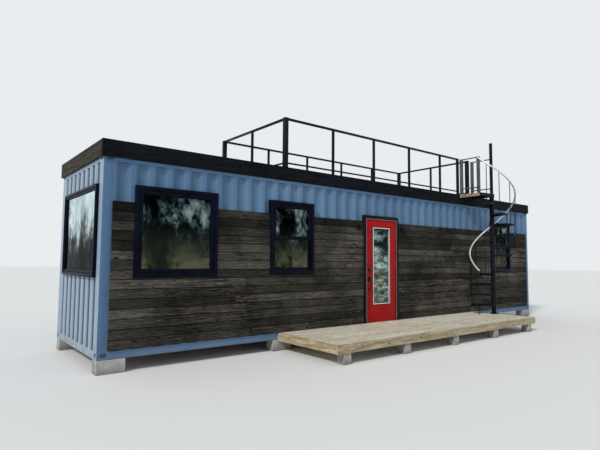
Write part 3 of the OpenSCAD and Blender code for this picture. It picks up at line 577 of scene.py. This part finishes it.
def patch(grid, tone=0.5):
    """Points, outward faces, UVs in metres and tone of one grid that closes into a solid.

    u is the distance along the path and v the distance round the profile; an end uses the profile.
    """
    rows, count = grid["points"].shape[:2]
    points = grid["points"].reshape(-1, 3)
    along = measure(grid["places"], grid["closed"])
    around = measure(grid["profile"], True)
    faces = grid_faces(rows, count, grid["closed"])
    row_steps = rows if grid["closed"] else rows - 1
    u0 = np.repeat(along[:row_steps], count)
    u1 = np.repeat(along[1:row_steps + 1], count)
    v0 = np.tile(around[:count], row_steps)
    v1 = np.tile(around[1:count + 1], row_steps)
    uvs = np.stack([np.stack(c, -1) for c in ((u0, v0), (u1, v0), (u1, v1), (u0, v1))], 1)
    if not grid["closed"]:
        last = (rows - 1) * count
        ends = np.concatenate([cap_faces(0, count, False), cap_faces(last, count, True)])
        faces = np.concatenate([faces, ends])
        uvs = np.concatenate([uvs, np.tile(grid["profile"], (rows, 1))[ends]])
    if signed_volume(points - points.mean(0), faces) < 0:
        faces = faces[:, ::-1]
        uvs = uvs[:, ::-1]
    return points, faces, uvs, np.full(len(faces), tone)


box_test = patch(carry([(0, 0), (0, 1), (1, 1), (1, 0)], [0 * Z, 2 * Z], X, Y))
print("a box of 1 x 1 x 2 has a volume of", round(signed_volume(*box_test[:2]), 3))

# %% [markdown]
# A wall has hundreds of planks, and an object for each would be slow to handle. So all planks of one
# kind become one mesh whose faces keep their plank's tone. A piece then moves with its body, takes the
# finish of its slot unless another is given, and hides the nodes it stands for.


# %% From patches to a piece
def add_piece(name, mesh, slot, body, replaces, finish=None):
    """Shows a mesh with its finish, the slot's unless another is given, parents it to its body and hides
    the nodes it stands for.
    """
    mesh.materials.append(finishes[finish or slot])
    piece = add_object(name, mesh)
    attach(piece, body)
    if replaces:
        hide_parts(*replaces)
    return piece


def make_piece(name, patches, slot, body="cabin", smooth=False, replaces=(), finish=None):
    """Joins patches into one mesh: the faces of each count on from the points of those before."""
    starts = np.cumsum([0] + [len(p[0]) for p in patches[:-1]])
    points, uvs, tones = (np.concatenate([p[i] for p in patches]) for i in (0, 2, 3))
    faces = np.concatenate([p[1] + start for p, start in zip(patches, starts)])
    mesh = bpy.data.meshes.new(name)
    mesh.vertices.add(len(points))
    mesh.vertices.foreach_set("co", points.astype(np.float32).ravel())
    mesh.loops.add(faces.size)
    mesh.loops.foreach_set("vertex_index", faces.astype(np.int32).ravel())
    mesh.polygons.add(len(faces))
    mesh.polygons.foreach_set("loop_start", np.arange(0, faces.size, 4, dtype=np.int32))
    mesh.polygons.foreach_set("use_smooth", np.full(len(faces), smooth))
    mesh.uv_layers.new(name="UVMap").data.foreach_set("uv", uvs.astype(np.float32).ravel())
    tone = mesh.attributes.new("board", "FLOAT", "FACE")
    tone.data.foreach_set("value", tones.astype(np.float32))
    mesh.update(calc_edges=True)
    mesh.validate()
    add_piece(name, mesh, slot, body, replaces, finish)
    print(name, len(faces), "faces")


# %% [markdown]
# A plank is a rounded rectangle carried along its length. A scaled cube would be too perfect: a real one
# bows by a millimetre or so and no two are equally thick, which is what catches the light along a wall.
# The bow is a slow sine with a size and phase of its own.

# %% Planks
rng = np.random.default_rng(11)
PLANK_STEP = 0.6
SLOW_WAVE = 2.0
SLOWER_WAVE = 1.7


def eased(width, thick, ease):
    """Rectangle from (0, 0) to (width, thick) with its four edges taken off by ease.

    The order is the mirror order that the caps need: point k faces point 7 - k across the width.
    """
    low = [(ease, 0), (0, ease), (0, thick - ease), (ease, thick)]
    return low + [(width - a, b) for a, b in reversed(low)]


def plank(start, along, across, out, length, width, thick, ease=0.003, bow=0.0012, profile=None):
    """One board: it begins at start, runs along, is wide across and thick towards out.

    It sways sideways by a sine of its length, and inwards only, by a slower one.
    """
    count = max(2, int(round(length / PLANK_STEP)) + 1)
    t = np.linspace(0, 1, count)[:, None]
    phase = rng.uniform(0, 2 * math.pi, 2)
    size = rng.uniform(-bow, bow, 2)
    sideways = size[0] * np.sin(SLOW_WAVE * t * length + phase[0])
    inwards = abs(size[1]) * (0.5 + 0.5 * np.sin(SLOWER_WAVE * t * length + phase[1]))
    places = start + along * t * length + (sideways * across - inwards * out)
    shape = profile if profile is not None else eased(width, thick, ease)
    return patch(carry(shape, places, across, out), tone=rng.uniform(0, 1))


def split_lengths(total, longest, gap):
    """Cuts a run into boards of about equal but varied length: (start, length) of each."""
    count = max(1, math.ceil(total / longest))
    cuts = np.linspace(0, total, count + 1)
    if count > 1:
        cuts[1:-1] += rng.uniform(-0.22, 0.22, count - 1) * total / count
    return [(a + gap / 2, b - a - gap) for a, b in zip(cuts[:-1], cuts[1:])]


print("corners of a plank's profile:", len(eased(0.14, 0.02, 0.003)))

# %% [markdown]
# The cladding is rows of rough boards, butted at places that differ from row to row, and cut round the
# windows. A grooved plate would show the rows but not the ends. A tongue along both edges hides the
# steel, and a row that meets a window is ripped.

# %% Cladding
PICTURE_WINDOW = (0.451, 1.125, 1.348, 1.346)
SLIDING_WINDOW = (2.838, 1.137, 1.000, 1.322)
SLIDING_WINDOW_RIGHT = (10.1, 1.137, 1.000, 1.322)
FRONT_WINDOWS = (PICTURE_WINDOW, SLIDING_WINDOW, SLIDING_WINDOW_RIGHT)
CLAD_GROOVE = 0.009
CLAD_TONGUE = 0.014
TONGUE_GAP = 0.0003
TONGUE_SLOPE = 0.0005
CLAD_EASE = 0.0025
CLAD_UNEVEN = 0.004
THINNEST_RIP = 0.02
LONGEST_BOARD = 3.3
BUTT_GAP = 0.002


def clad_profile(height, thick):
    """Board with a tongue along both edges: width along the wall's height, thickness outwards."""
    edge = CLAD_GROOVE / 2
    back = thick - CLAD_TONGUE
    low = [(TONGUE_GAP, 0), (TONGUE_GAP, back - TONGUE_SLOPE), (edge, back + TONGUE_SLOPE),
           (edge, thick - CLAD_EASE), (edge + CLAD_EASE, thick)]
    return low + [(height - a, b) for a, b in reversed(low)]


def row_pieces(x0, x1, z0, z1, windows):
    """Rectangles of a row that are left when the windows are cut out of it."""
    cuts = [(wx, wx + ww, wz, wz + wh) for wx, wz, ww, wh in windows
            if wz < z1 and wz + wh > z0 and wx > x0 and wx + ww < x1]
    edges = [x0] + [e for c in cuts for e in c[:2]] + [x1]
    whole = [(a, b, z0, z1) for a, b in zip(edges[::2], edges[1::2])]
    under = [(a, b, z0, low) for a, b, low, _ in cuts if low > z0]
    over = [(a, b, high, z1) for a, b, _, high in cuts if high < z1]
    return whole + under + over


def cladding(name, node):
    """Row by row from the foot: every rectangle of the row is cut into boards."""
    low, high, rows, pitch = clad_rows(node)
    patches = []
    for row in range(rows):
        z0 = low[2] + row * pitch
        for x0, x1, za, zb in row_pieces(low[0], high[0], z0, z0 + pitch, FRONT_WINDOWS):
            if zb - za < THINNEST_RIP:
                continue
            for start, length in split_lengths(x1 - x0, LONGEST_BOARD, BUTT_GAP):
                thick = -low[1] - rng.uniform(0, CLAD_UNEVEN)
                patches.append(plank(on_box(x0 + start, 0, za), X, Z, -Y, length, zb - za, thick,
                                     profile=clad_profile(zb - za, thick)))
    make_piece(name, patches, "stained_boards", replaces=(node,))


cladding("cladding_boards_left", "cladding_left")
cladding("cladding_boards_right", "cladding_right")

# %% [markdown]
# A stained board on edge runs round the roof and hides the ends of the deck. One plank could go all the
# way, but timber isn't sold so long, so each run is split into a few. It takes its place from the node
# that it stands for.

# %% Boards of the roof edge
EDGE_BOARD = 4.1


def edge_boards(name, runs, length, height, thick, replaces, finish):
    """Boards on edge. A run is its start, its direction and its outward side."""
    patches = []
    for start, along, out in runs:
        for offset, size in split_lengths(length, EDGE_BOARD, BUTT_GAP):
            patches.append(plank(np.array(start) + along * offset, along, Z, out, size, height, thick,
                                 ease=0.004, bow=0.0008))
    make_piece(name, patches, "stained_boards", replaces=replaces, finish=finish)


# Front and back run along the box; the two ends run between them.
low, high = corners("parapet_front")
back = corners("parapet_back")[0]
thick = high[1] - low[1]
size = (high[2] - low[2], thick)
length = high[0] - low[0]
edge_boards("roof_edge_front", [((low[0], high[1], low[2]), X, -Y)], length, *size, ("parapet_front",),
            "stained_edge_front")
edge_boards("roof_edge_back", [((back[0], back[1], low[2]), X, Y)], length, *size, ("parapet_back",),
            "stained_edge_front")
edge_boards("roof_edge_ends", [((low[0] + thick, high[1], low[2]), Y, -X),
                               ((high[0] - thick, high[1], low[2]), Y, X)],
            back[1] - high[1], *size, ("parapet_ends",), "stained_edge_ends")

# %% [markdown]
# Porch and roof deck are laid with boards a few millimetres apart, so that rain runs through. Grooves in
# a plate would look alike from above, but through real gaps one sees the joists, and the ends of the
# boards show at the rim.

# %% Porch and roof deck boards
BOARD_GAP = 0.006
BOARD_UNEVEN = 0.0015
LONGEST_DECK_BOARD = 3.7
END_GAP = 0.003
PORCH_ROWS = 10
DECK_ROWS = 17
DECK_JOISTS = 11
TIMBER = 0.038


def deck_boards(name, low, high, rows, thick, replaces, extra=()):
    """Boards laid along x between two corners, their tops on the higher one."""
    pitch = (high[1] - low[1]) / rows
    patches = list(extra)
    for row in range(rows):
        y = low[1] + row * pitch + BOARD_GAP / 2
        for offset, size in split_lengths(high[0] - low[0], LONGEST_DECK_BOARD, END_GAP):
            patches.append(plank((low[0] + offset, y, high[2] - thick), X, Y, Z, size,
                                 pitch - BOARD_GAP, thick - rng.uniform(0, BOARD_UNEVEN), bow=0.0008))
    make_piece(name, patches, "porch_pine", replaces=replaces)


porch_low, porch_high = corners("porch_boards")
porch_thick = porch_high[2] - porch_low[2]
deck_boards("porch_planks", porch_low, porch_high, PORCH_ROWS, porch_thick, ("porch_boards",))

# Joists from front to back at equal distances, with the boards across them.
low, high = corners("roof_deck")
joists = [plank((x, low[1], low[2]), Y, X, Z, high[1] - low[1], TIMBER, high[2] - low[2] - TIMBER, bow=0.0)
          for x in np.linspace(low[0], high[0] - TIMBER, DECK_JOISTS)]
deck_boards("roof_deck_planks", low, high, DECK_ROWS, TIMBER, ("roof_deck",), extra=joists)

# %% [markdown]
# Under the porch lies a frame of the same timber: a rim on three sides up to the top of the boards, a
# ledger along the cabin, and joists. One box would do from above, but light falls between joists, so
# they are planks again.

# %% Porch frame
JOIST_PITCH = 0.61


def joist_lines():
    """Middles of the porch joists in x: equal bays of about the usual pitch between the end rims."""
    low, high = corners("porch_frame")
    inner = high[0] - low[0] - 2 * TIMBER
    bays = int(round(inner / JOIST_PITCH))
    return low[0] + TIMBER + np.arange(1, bays) * inner / bays


# Front rim, two end rims, the ledger at the back and the joists, in this order.
low, high = corners("porch_frame")
full = high[2] - low[2]
lower = full - porch_thick
length = high[0] - low[0]
depth = high[1] - low[1] - TIMBER
front = low[1] + TIMBER
patches = [plank((low[0], front, low[2]), X, Z, -Y, length, full, TIMBER)]
for x, out in ((low[0] + TIMBER, -X), (high[0] - TIMBER, X)):
    patches.append(plank((x, front, low[2]), Y, Z, out, depth, full, TIMBER))
ledger = (low[0] + TIMBER, high[1] - TIMBER, low[2])
patches.append(plank(ledger, X, Z, Y, length - 2 * TIMBER, lower, TIMBER))
for x in joist_lines() + TIMBER / 2:
    patches.append(plank((x, front, low[2]), Y, Z, -X, depth - TIMBER, lower, TIMBER, bow=0.0))
make_piece("porch_joists_and_rim", patches, "porch_pine", replaces=("porch_frame",), finish="rim_pine")

# %% [markdown]
# No steel edge is sharp: bars are rolled, plates are ground and paint fills the rest, which shows as a
# thin light line. Edges could be rounded one at a time; a copy of each node, its triangles joined into
# whole faces, and a Bevel of its steep edges do all alike.

# %% Rounded edges
SAME_POINT = 0.00002
SAME_FACE = math.radians(0.5)
STEEP = math.radians(25)


def whole_faces(node):
    """A node's shape with its doubled points merged and its triangles joined into flat faces."""
    shape = bmesh.new()
    shape.from_mesh(frame["nodes"][node].data)
    bmesh.ops.remove_doubles(shape, verts=shape.verts, dist=SAME_POINT)
    bmesh.ops.dissolve_limit(shape, angle_limit=SAME_FACE, verts=shape.verts, edges=shape.edges)
    return shape


def bevelled(node, name, shape, body="cabin", finish=None, **settings):
    """Shows that shape in its node's place, under a Bevel with these settings."""
    mesh = bpy.data.meshes.new(name)
    shape.to_mesh(mesh)
    shape.free()
    piece = add_piece(name, mesh, SLOTS[node], body, (node,), finish)
    bevel = piece.modifiers.new("round", "BEVEL")
    for setting, value in settings.items():
        setattr(bevel, setting, value)
    print(name, len(mesh.polygons), "faces before the bevel")
    return mesh


def rounded(node, width, body="cabin", segments=2, finish=None):
    """A copy of a node with each steep edge rounded by width, in metres."""
    name = node.replace("_window_frames", "_frames") + "_rounded"
    mesh = bevelled(node, name, whole_faces(node), body, finish, width=width, segments=segments,
                    limit_method="ANGLE", angle_limit=STEEP, harden_normals=True)
    mesh.polygons.foreach_set("use_smooth", np.ones(len(mesh.polygons), bool))


ROUNDED = {
    "window_surrounds": 0.004, "picture_window_frames": 0.0025, "sliding_window_frames": 0.0025,
    "door_frame": 0.0025, "wall_lights": 0.004, "railing_posts": 0.004, "railing_front": 0.003,
    "railing_back": 0.003, "railing_left": 0.003, "railing_right": 0.003, "stair_treads": 0.0018,
    "foundation_blocks": 0.01, "porch_blocks": 0.01, "corner_posts": 0.005, "base_frame": 0.003,
    "top_rails": 0.004, "door_sill": 0.0015,
}
for node, width in ROUNDED.items():
    rounded(node, width)
rounded("landing_guards", 0.003, finish="guard_grey")
rounded("landing", 0.002, finish="landing_steel")
rounded("door_leaf", 0.003, body="door", segments=3)
rounded("door_handle", 0.0015, body="door")

# %% [markdown]
# The folded walls are pressed from sheet, so their folds are bends with a radius. A Bevel by angle would
# round the openings too. So only the long upright edges are given weight, picked by their direction, and
# the cut edges stay sharp behind the frames that cover them.

# %% Bends of the folded walls
BEND = 0.009
BEND_STEPS = 5
UPRIGHT = 0.999
FOLD_ANGLES = (0.2, 1.2)
CROWDED = (0.0005, 2.2 * BEND)


def fold_lines(shape):
    """Upright edges on a fold: the height is nearly the length, and the angle is that of a fold.

    A line is left out where another stands beside it, closer than the bend is wide.
    """
    upright = [edge for edge in shape.edges if len(edge.link_faces) == 2
               and abs(edge.verts[1].co.z - edge.verts[0].co.z) > UPRIGHT * edge.calc_length()]
    places = np.array([edge.verts[0].co.xy[:] for edge in upright])
    apart = np.linalg.norm(places[:, None] - places[None], axis=2)
    crowded = ((apart > CROWDED[0]) & (apart < CROWDED[1])).any(1)
    return [edge for edge, tight in zip(upright, crowded)
            if not tight and FOLD_ANGLES[0] < edge.calc_face_angle(0) < FOLD_ANGLES[1]]


def bent(node):
    """A copy of a folded wall whose fold lines have the weight that the Bevel asks for."""
    shape = whole_faces(node)
    weight = shape.edges.layers.float.new("bevel_weight_edge")
    for edge in fold_lines(shape):
        edge[weight] = 1.0
    bevelled(node, node + "_bent", shape, width=BEND, segments=BEND_STEPS, limit_method="WEIGHT",
             use_clamp_overlap=False)


for node in ("front_wall_left", "front_wall_right", "front_wall_over_door", "back_wall",
             "left_end_wall", "right_end_wall"):
    bent(node)

# %% [markdown]
# A bead holds each pane of the windows, a thin sloping ring that the eye takes for the edge of the
# glass. Four small planks would leave its corners open. So a profile is carried round a rectangle: at a
# corner its side is the diagonal, and both legs keep their width.

# %% Beads of the windows
SURROUND_OUT = 0.05
SURROUND_FACE = 0.055
SASH_FACE = 0.044
SASH_DEPTH = 0.03
SASH_BACK = 0.014
JAMB_FACE = 0.018
GLASS_THICK = 0.016
END_WINDOW = (0.17, 1.13, 1.89, 1.338)
END_FACE = 0.043 + 0.033
BEAD = [(0, 0), (0, 0.004), (0.002, 0.007), (0.006, 0.006), (0.01, 0.002), (0.01, 0)]


def ring(profile, origin, right, out, width, height):
    """Profile carried round an upright rectangle: its x goes inwards, its y goes out of the wall."""
    across, rise = right * width, Z * height
    places = origin + np.array([0 * X, across, across + rise, rise])
    inward = np.array([right + Z, Z - right, -right - Z, right - Z])
    return patch(carry(profile, places, inward, out, closed=True))


# Each pane's front face: its origin, right, out, width and height, from the windows' sizes.
face = SURROUND_FACE + JAMB_FACE + SASH_FACE
sash_front = SASH_BACK - SURROUND_OUT
front = sash_front + SASH_DEPTH - GLASS_THICK / 2
x, z, w, h = PICTURE_WINDOW
panes = [(on_box(x + face, front, z + face), X, -Y, w - 2 * face, h - 2 * face)]
upper = sash_front + SASH_DEPTH / 2 - GLASS_THICK / 2
for x, z, w, h in (SLIDING_WINDOW, SLIDING_WINDOW_RIGHT):
    inner_h = h - 2 * SURROUND_FACE
    sash_h = inner_h / 2 + SASH_FACE / 2 - JAMB_FACE - 2 * SASH_FACE
    z_up = z + SURROUND_FACE + inner_h / 2 + SASH_FACE / 2
    for y, foot in ((upper, z_up), (upper + SASH_DEPTH, z + face)):
        panes.append((on_box(x + face, y, foot), X, -Y, w - 2 * face, sash_h))
y, z, w, h = END_WINDOW
end_pane = on_box(front, y + w - END_FACE, z + END_FACE)
panes.append((end_pane, -Y, -X, w - 2 * END_FACE, h - 2 * END_FACE))
make_piece("glazing_beads", [ring(BEAD, *pane) for pane in panes], "window_black")

# %% [markdown]
# The door's glass sits in a white moulded frame with a rolled edge, clamped from both sides, with black
# gaskets along it. A square frame would lose the highlight that draws its outline. The moulding is one
# ring whose profile shows the front, then the back.

# %% Moulding of the door's glass
MOULDING = ((0.0, 0.005), (0.003, 0.0085), (0.009, 0.009), (0.015, 0.0075), (0.02, 0.005),
            (0.026, 0.0035), (0.027, 0.001))
MOULDING_LAP = 0.016
DOOR_GASKET = [(-0.013, 0), (-0.013, 0.002), (-0.01, 0.004), (0.001, 0.0045), (0.001, 0)]
GLASS_GASKET = [(0.018, 0.002), (0.018, 0.0075), (0.021, 0.0065), (0.028, 0.004), (0.028, 0.0)]

# The profile and its mirror image behind the leaf, and four gaskets in the same rectangle.
low, high = corners("door_glass_frame")
leaf_low, leaf_high = corners("door_leaf")
thick = leaf_high[1] - leaf_low[1]
size = (high[0] - low[0], high[2] - low[2])
back = [(a, -thick - b) for a, b in reversed(MOULDING)]
profile = [(0, 0), *MOULDING, *back, (0, -thick), (MOULDING_LAP, -thick), (MOULDING_LAP, 0)]
origin = np.array([low[0], leaf_low[1], low[2]])
behind = np.array([low[0], leaf_high[1], low[2]])
make_piece("door_moulding", [ring(profile, origin, X, -Y, *size)], "door_white", body="door",
           replaces=("door_glass_frame",))
gaskets = [ring(shape, place, X, out, *size) for shape in (DOOR_GASKET, GLASS_GASKET)
           for place, out in ((origin, -Y), (behind, Y))]
make_piece("door_gaskets", gaskets, "black_steel", body="door")

# %% [markdown]
# A pale weather strip runs up one side of the door frame, over the top and down the other: the thin
# light line round the red leaf. It could be a colour on the frame, but a strip that stands proud casts
# its fine shadow too.

# %% Weather strip round the door
STRIP_WIDTH = 0.007
STRIP_THICK = 0.003
STRIP_LAP = 0.006
STRIP_FOOT = 0.002
STRIP_GAP = 0.0003

# A rectangle carried along three sides; at the two upper corners its side is the diagonal.
leaf_low, leaf_high = corners("door_leaf")
front = corners("door_frame")[0][1]
x0, x1 = leaf_low[0] + STRIP_LAP, leaf_high[0] - STRIP_LAP
z0, z1 = porch_high[2] + STRIP_FOOT, leaf_high[2] - STRIP_LAP
places = np.array([(x0, front, z0), (x0, front, z1), (x1, front, z1), (x1, front, z0)])
profile = [(STRIP_GAP, 0), (STRIP_GAP, STRIP_THICK), (STRIP_WIDTH, STRIP_THICK), (STRIP_WIDTH, 0)]
strip = patch(carry(profile, places, [-X, Z - X, X + Z, X], -Y))
make_piece("weather_strip", [strip], "door_white", finish="strip_grey")

# %% [markdown]
# The handrail catches the eye: a silver tube that climbs round the pole and turns flatter before it
# meets the landing. A Screw modifier can't change its rise on the way, so its line is a formula of the
# step number n: angle = start - step * n, height = foot + rise * n - ease * (n past the easing step).

# %% Handrail
POLE = np.array([9.187, -0.6, 0])
RAIL_REACH = 0.5393
RAIL_RADIUS = 0.0189
RAIL_START = 171
RAIL_STEP = 30.3
RAIL_FOOT = 0.116 + 1.084
RAIL_RISE = 0.2445
RAIL_EASE = 0.1171 / 5.4
RAIL_EASE_FROM = 6.4
RAIL_ENDS = (-0.12, 11.8)
RAIL_RINGS = 360
RAIL_SIDES = 16


def unit(vectors):
    """Vectors divided by their own length."""
    return vectors / np.linalg.norm(vectors, axis=-1, keepdims=True)


def circle(count):
    """Points of a circle of radius 1, where point k is the mirror image of point count - 1 - k."""
    turn = (np.arange(count) + 0.5) * 2 * math.pi / count
    return np.stack([np.cos(turn), np.sin(turn)], -1)


# A circle on the line; its side points from the pole, less the part that lies along the line.
# Within a radius r of an end, the circle at distance d has the size sqrt(1 - (1 - d / r)^2).
n = np.linspace(*RAIL_ENDS, RAIL_RINGS)
turn = np.radians(RAIL_START - RAIL_STEP * n)
height = RAIL_FOOT + RAIL_RISE * n - RAIL_EASE * np.maximum(0, n - RAIL_EASE_FROM)
around = np.stack([RAIL_REACH * np.cos(turn), RAIL_REACH * np.sin(turn), height], -1)
places = around + POLE + box_low
ahead = unit(np.gradient(places, axis=0))
side = unit(around * (1, 1, 0))
side = unit(side - ahead * np.einsum("ij,ij->i", side, ahead)[:, None])
up = np.cross(side, ahead)
length = measure(places, False)
from_end = np.minimum(length, length[-1] - length)
size = np.sqrt(np.clip(1 - (1 - from_end / RAIL_RADIUS) ** 2, 0.04, 1))
size = np.where(from_end > RAIL_RADIUS, 1, size)[:, None] * RAIL_RADIUS
tube = patch(carry(circle(RAIL_SIDES), places, side * size, up * size))
make_piece("stair_handrail_tube", [tube], "handrail_silver", smooth=True, replaces=("stair_handrail",))
print("handrail:", round(float(length[-1]), 2), "m")

# %% [markdown]
# Plates are bolted and boards are held by screws or nails, and these small heads tell the eye how large
# everything is. Hundreds of objects would be slow, so one little dome of a few faces is worked out once
# and copied to all its places: points[i, j] = place[i] + template[j].


# %% Heads of screws, nails and bolts
def domes(places, out, radius, height, sides=8):
    """Many equal heads: a rim that rises to a smaller flat top, towards out."""
    side = np.cross(out, Z) if abs(out[2]) < 0.9 else X
    up = np.cross(out, side)
    size = np.array([[1.0], [1.0], [0.6]]) * radius
    path = out * np.array([[0.0], [0.5], [1.0]]) * height
    points, faces, uvs, tones = patch(carry(circle(sides), path, side * size, up * size))
    places = np.asarray(places, float)
    count = len(places)
    all_points = (places[:, None] + points[None]).reshape(-1, 3)
    all_faces = (faces[None] + np.arange(count)[:, None, None] * len(points)).reshape(-1, 4)
    return all_points, all_faces, np.tile(uvs, (count, 1, 1)), np.tile(tones, count)


print("faces of a head:", len(domes([Z], Z, 0.004, 0.002)[1]))

# %% [markdown]
# The railing's posts stand on square plates with a bolt in each corner, as a fence on a roof has to. A
# plate could be a cube with a Bevel; a plank of steel without bow is the same, as its edges are eased
# already.

# %% Base plates of the posts
POSTS = ((3.23, 0.078, 0.08), (9.187, 0.078, 0.08), (3.23, 2.36, 0.08), (9.187, 2.36, 0.08),
         (8.752, 0.078, 0.055))
PLATE_MARGIN = 0.032
PLATE_THICK = 0.008
BOLT_INSET = 0.014
BOLT_RADIUS = 0.008
BOLT_HEIGHT = 0.007

# A post is its x, y and width; half its plate is half the width plus a margin.
deck = corners("roof_deck")[1][2]
patches = []
bolts = []
for x, y, side in POSTS:
    half = side / 2 + PLATE_MARGIN
    middle = on_box(x, y, 0)
    middle[2] = deck
    foot = middle - half * (X + Y)
    patches.append(plank(foot, X, Y, Z, 2 * half, 2 * half, PLATE_THICK, ease=0.001, bow=0.0))
    inset = half - BOLT_INSET
    for dx, dy in ((-1, -1), (1, -1), (1, 1), (-1, 1)):
        bolts.append(middle + (dx * inset, dy * inset, PLATE_THICK))
patches.append(domes(bolts, Z, BOLT_RADIUS, BOLT_HEIGHT, sides=6))
make_piece("railing_base_plates", patches, "black_steel")

# %% [markdown]
# Two screws hold each porch board on every joist, and two dark nails each board of the wall on every
# stud. They could be set by hand; a grid of all lines of joists times all lines of boards is even. Those
# that fall in a window are masked out.

# %% Screws and nails
SCREW_INSET = 0.02
SCREW_LINES = (0.22, 0.78)
SCREW_RADIUS = 0.0042
SCREW_HEIGHT = 0.0018
SCREW_SUNK = 0.0022
NAIL_INSET = 0.05
NAIL_LINES = (0.25, 0.75)
NAIL_RADIUS = 0.0045
NAIL_HEIGHT = 0.0035
NAIL_SUNK = 0.004
FROM_WINDOW = 0.01


def head_grid(xs, low, pitch, rows, lines):
    """Crossings of the lines xs and, in each of the rows above low, lines at shares of its pitch."""
    others = (low + (np.arange(rows)[:, None] + np.array(lines)) * pitch).ravel()
    return [c.ravel() for c in np.meshgrid(xs, others)]


# Two screws a board over every joist, and near both ends.
pitch = (porch_high[1] - porch_low[1]) / PORCH_ROWS
ends = (porch_low[0] + SCREW_INSET, porch_high[0] - SCREW_INSET)
xs = np.concatenate([ends[:1], joist_lines(), ends[1:]])
x, y = head_grid(xs, porch_low[1], pitch, PORCH_ROWS, SCREW_LINES)
places = np.stack([x, y, np.full(x.size, porch_high[2] - SCREW_SUNK)], -1)
make_piece("porch_screws", [domes(places, Z, SCREW_RADIUS, SCREW_HEIGHT)], "sill_metal")

# Two nails a row over every stud, left out where a window is.
patches = []
for node in ("cladding_left", "cladding_right"):
    low, high, rows, pitch = clad_rows(node)
    studs = int(round((high[0] - low[0]) / JOIST_PITCH)) + 1
    xs = np.linspace(low[0] + NAIL_INSET, high[0] - NAIL_INSET, studs)
    x, z = head_grid(xs, low[2], pitch, rows, NAIL_LINES)
    clear = np.ones(x.size, bool)
    for wx, wz, ww, wh in FRONT_WINDOWS:
        clear &= ((abs(x - wx - ww / 2) >= ww / 2 + FROM_WINDOW)
                  | (abs(z - wz - wh / 2) >= wh / 2 + FROM_WINDOW))
    places = np.stack([x[clear], np.full(clear.sum(), low[1] + NAIL_SUNK), z[clear]], -1)
    patches.append(domes(places + box_low, -Y, NAIL_RADIUS, NAIL_HEIGHT))
make_piece("cladding_nails", patches, "black_steel")

# %% [markdown]
# A plain pale floor, a soft even sky, and one broad sun from the upper left, where the photo has it.
# Area lights would fall off along such a long thing. Camera, metal and glass see a paler background than
# the sky that lights the cabin, as Light Path tells rays apart.

# %% Light, floor and background
FLOOR_COLOUR = (0.8, 0.8, 0.79, 1)
FLOOR_HALF = 90.0
SKY_LEVEL = 0.53
SKY_LIGHT = (0.9 * SKY_LEVEL, 0.97 * SKY_LEVEL, 1.06 * SKY_LEVEL)
BACKGROUND = (0.82, 0.845, 0.87)
SUN_LEVEL = 2.05
SUN_WIDTH = math.radians(9)
SUN_COLOUR = (1.0, 0.965, 0.91)
TOWARDS_SUN = (-0.74, -0.29, 0.66)

# A square that reaches far behind the cabin.
mesh = bpy.data.meshes.new("floor")
square = [(x * FLOOR_HALF, y * FLOOR_HALF, 0) for x, y in ((-1, -1), (1, -1), (1, 1), (-1, 1))]
mesh.from_pydata(square, [], [(0, 1, 2, 3)])
finish_surface(new_material("studio_floor"), FLOOR_COLOUR, 0.9)
mesh.materials.append(finishes["studio_floor"])
add_object("studio_floor", mesh)

# A world that is the background to camera, glossy and transmission rays, else the sky's light.
world = bpy.data.worlds.new("studio")
bpy.context.scene.world = world
world.use_nodes = True
world.node_tree.nodes.clear()
start = Wire(world.node_tree)
camera_ray, glossy, through = (start.node("LightPath", out=ray) for ray in (
    "Is Camera Ray", "Is Glossy Ray", "Is Transmission Ray"))
seen = camera_ray.most(glossy).most(through)
colour = seen.mix(SKY_LIGHT, BACKGROUND)
background = seen.node("Background", None, {"Color": colour, "Strength": 1.0})
seen.node("OutputWorld", None, {"Surface": background})

# A sun whose back, its own z axis, points to where it stands.
data = bpy.data.lights.new("sun", "SUN")
data.energy = SUN_LEVEL
data.angle = SUN_WIDTH
data.color = SUN_COLOUR
turned = Vector(TOWARDS_SUN).to_track_quat("Z", "Y")
add_object("sun", data).matrix_world = turned.to_matrix().to_4x4()

bpy.context.scene.view_settings.view_transform = "Standard"
print("sun:", SUN_LEVEL, "sky:", np.round(SKY_LIGHT, 3))

# %% [markdown]
# Blender dresses the construction and never changes its size.
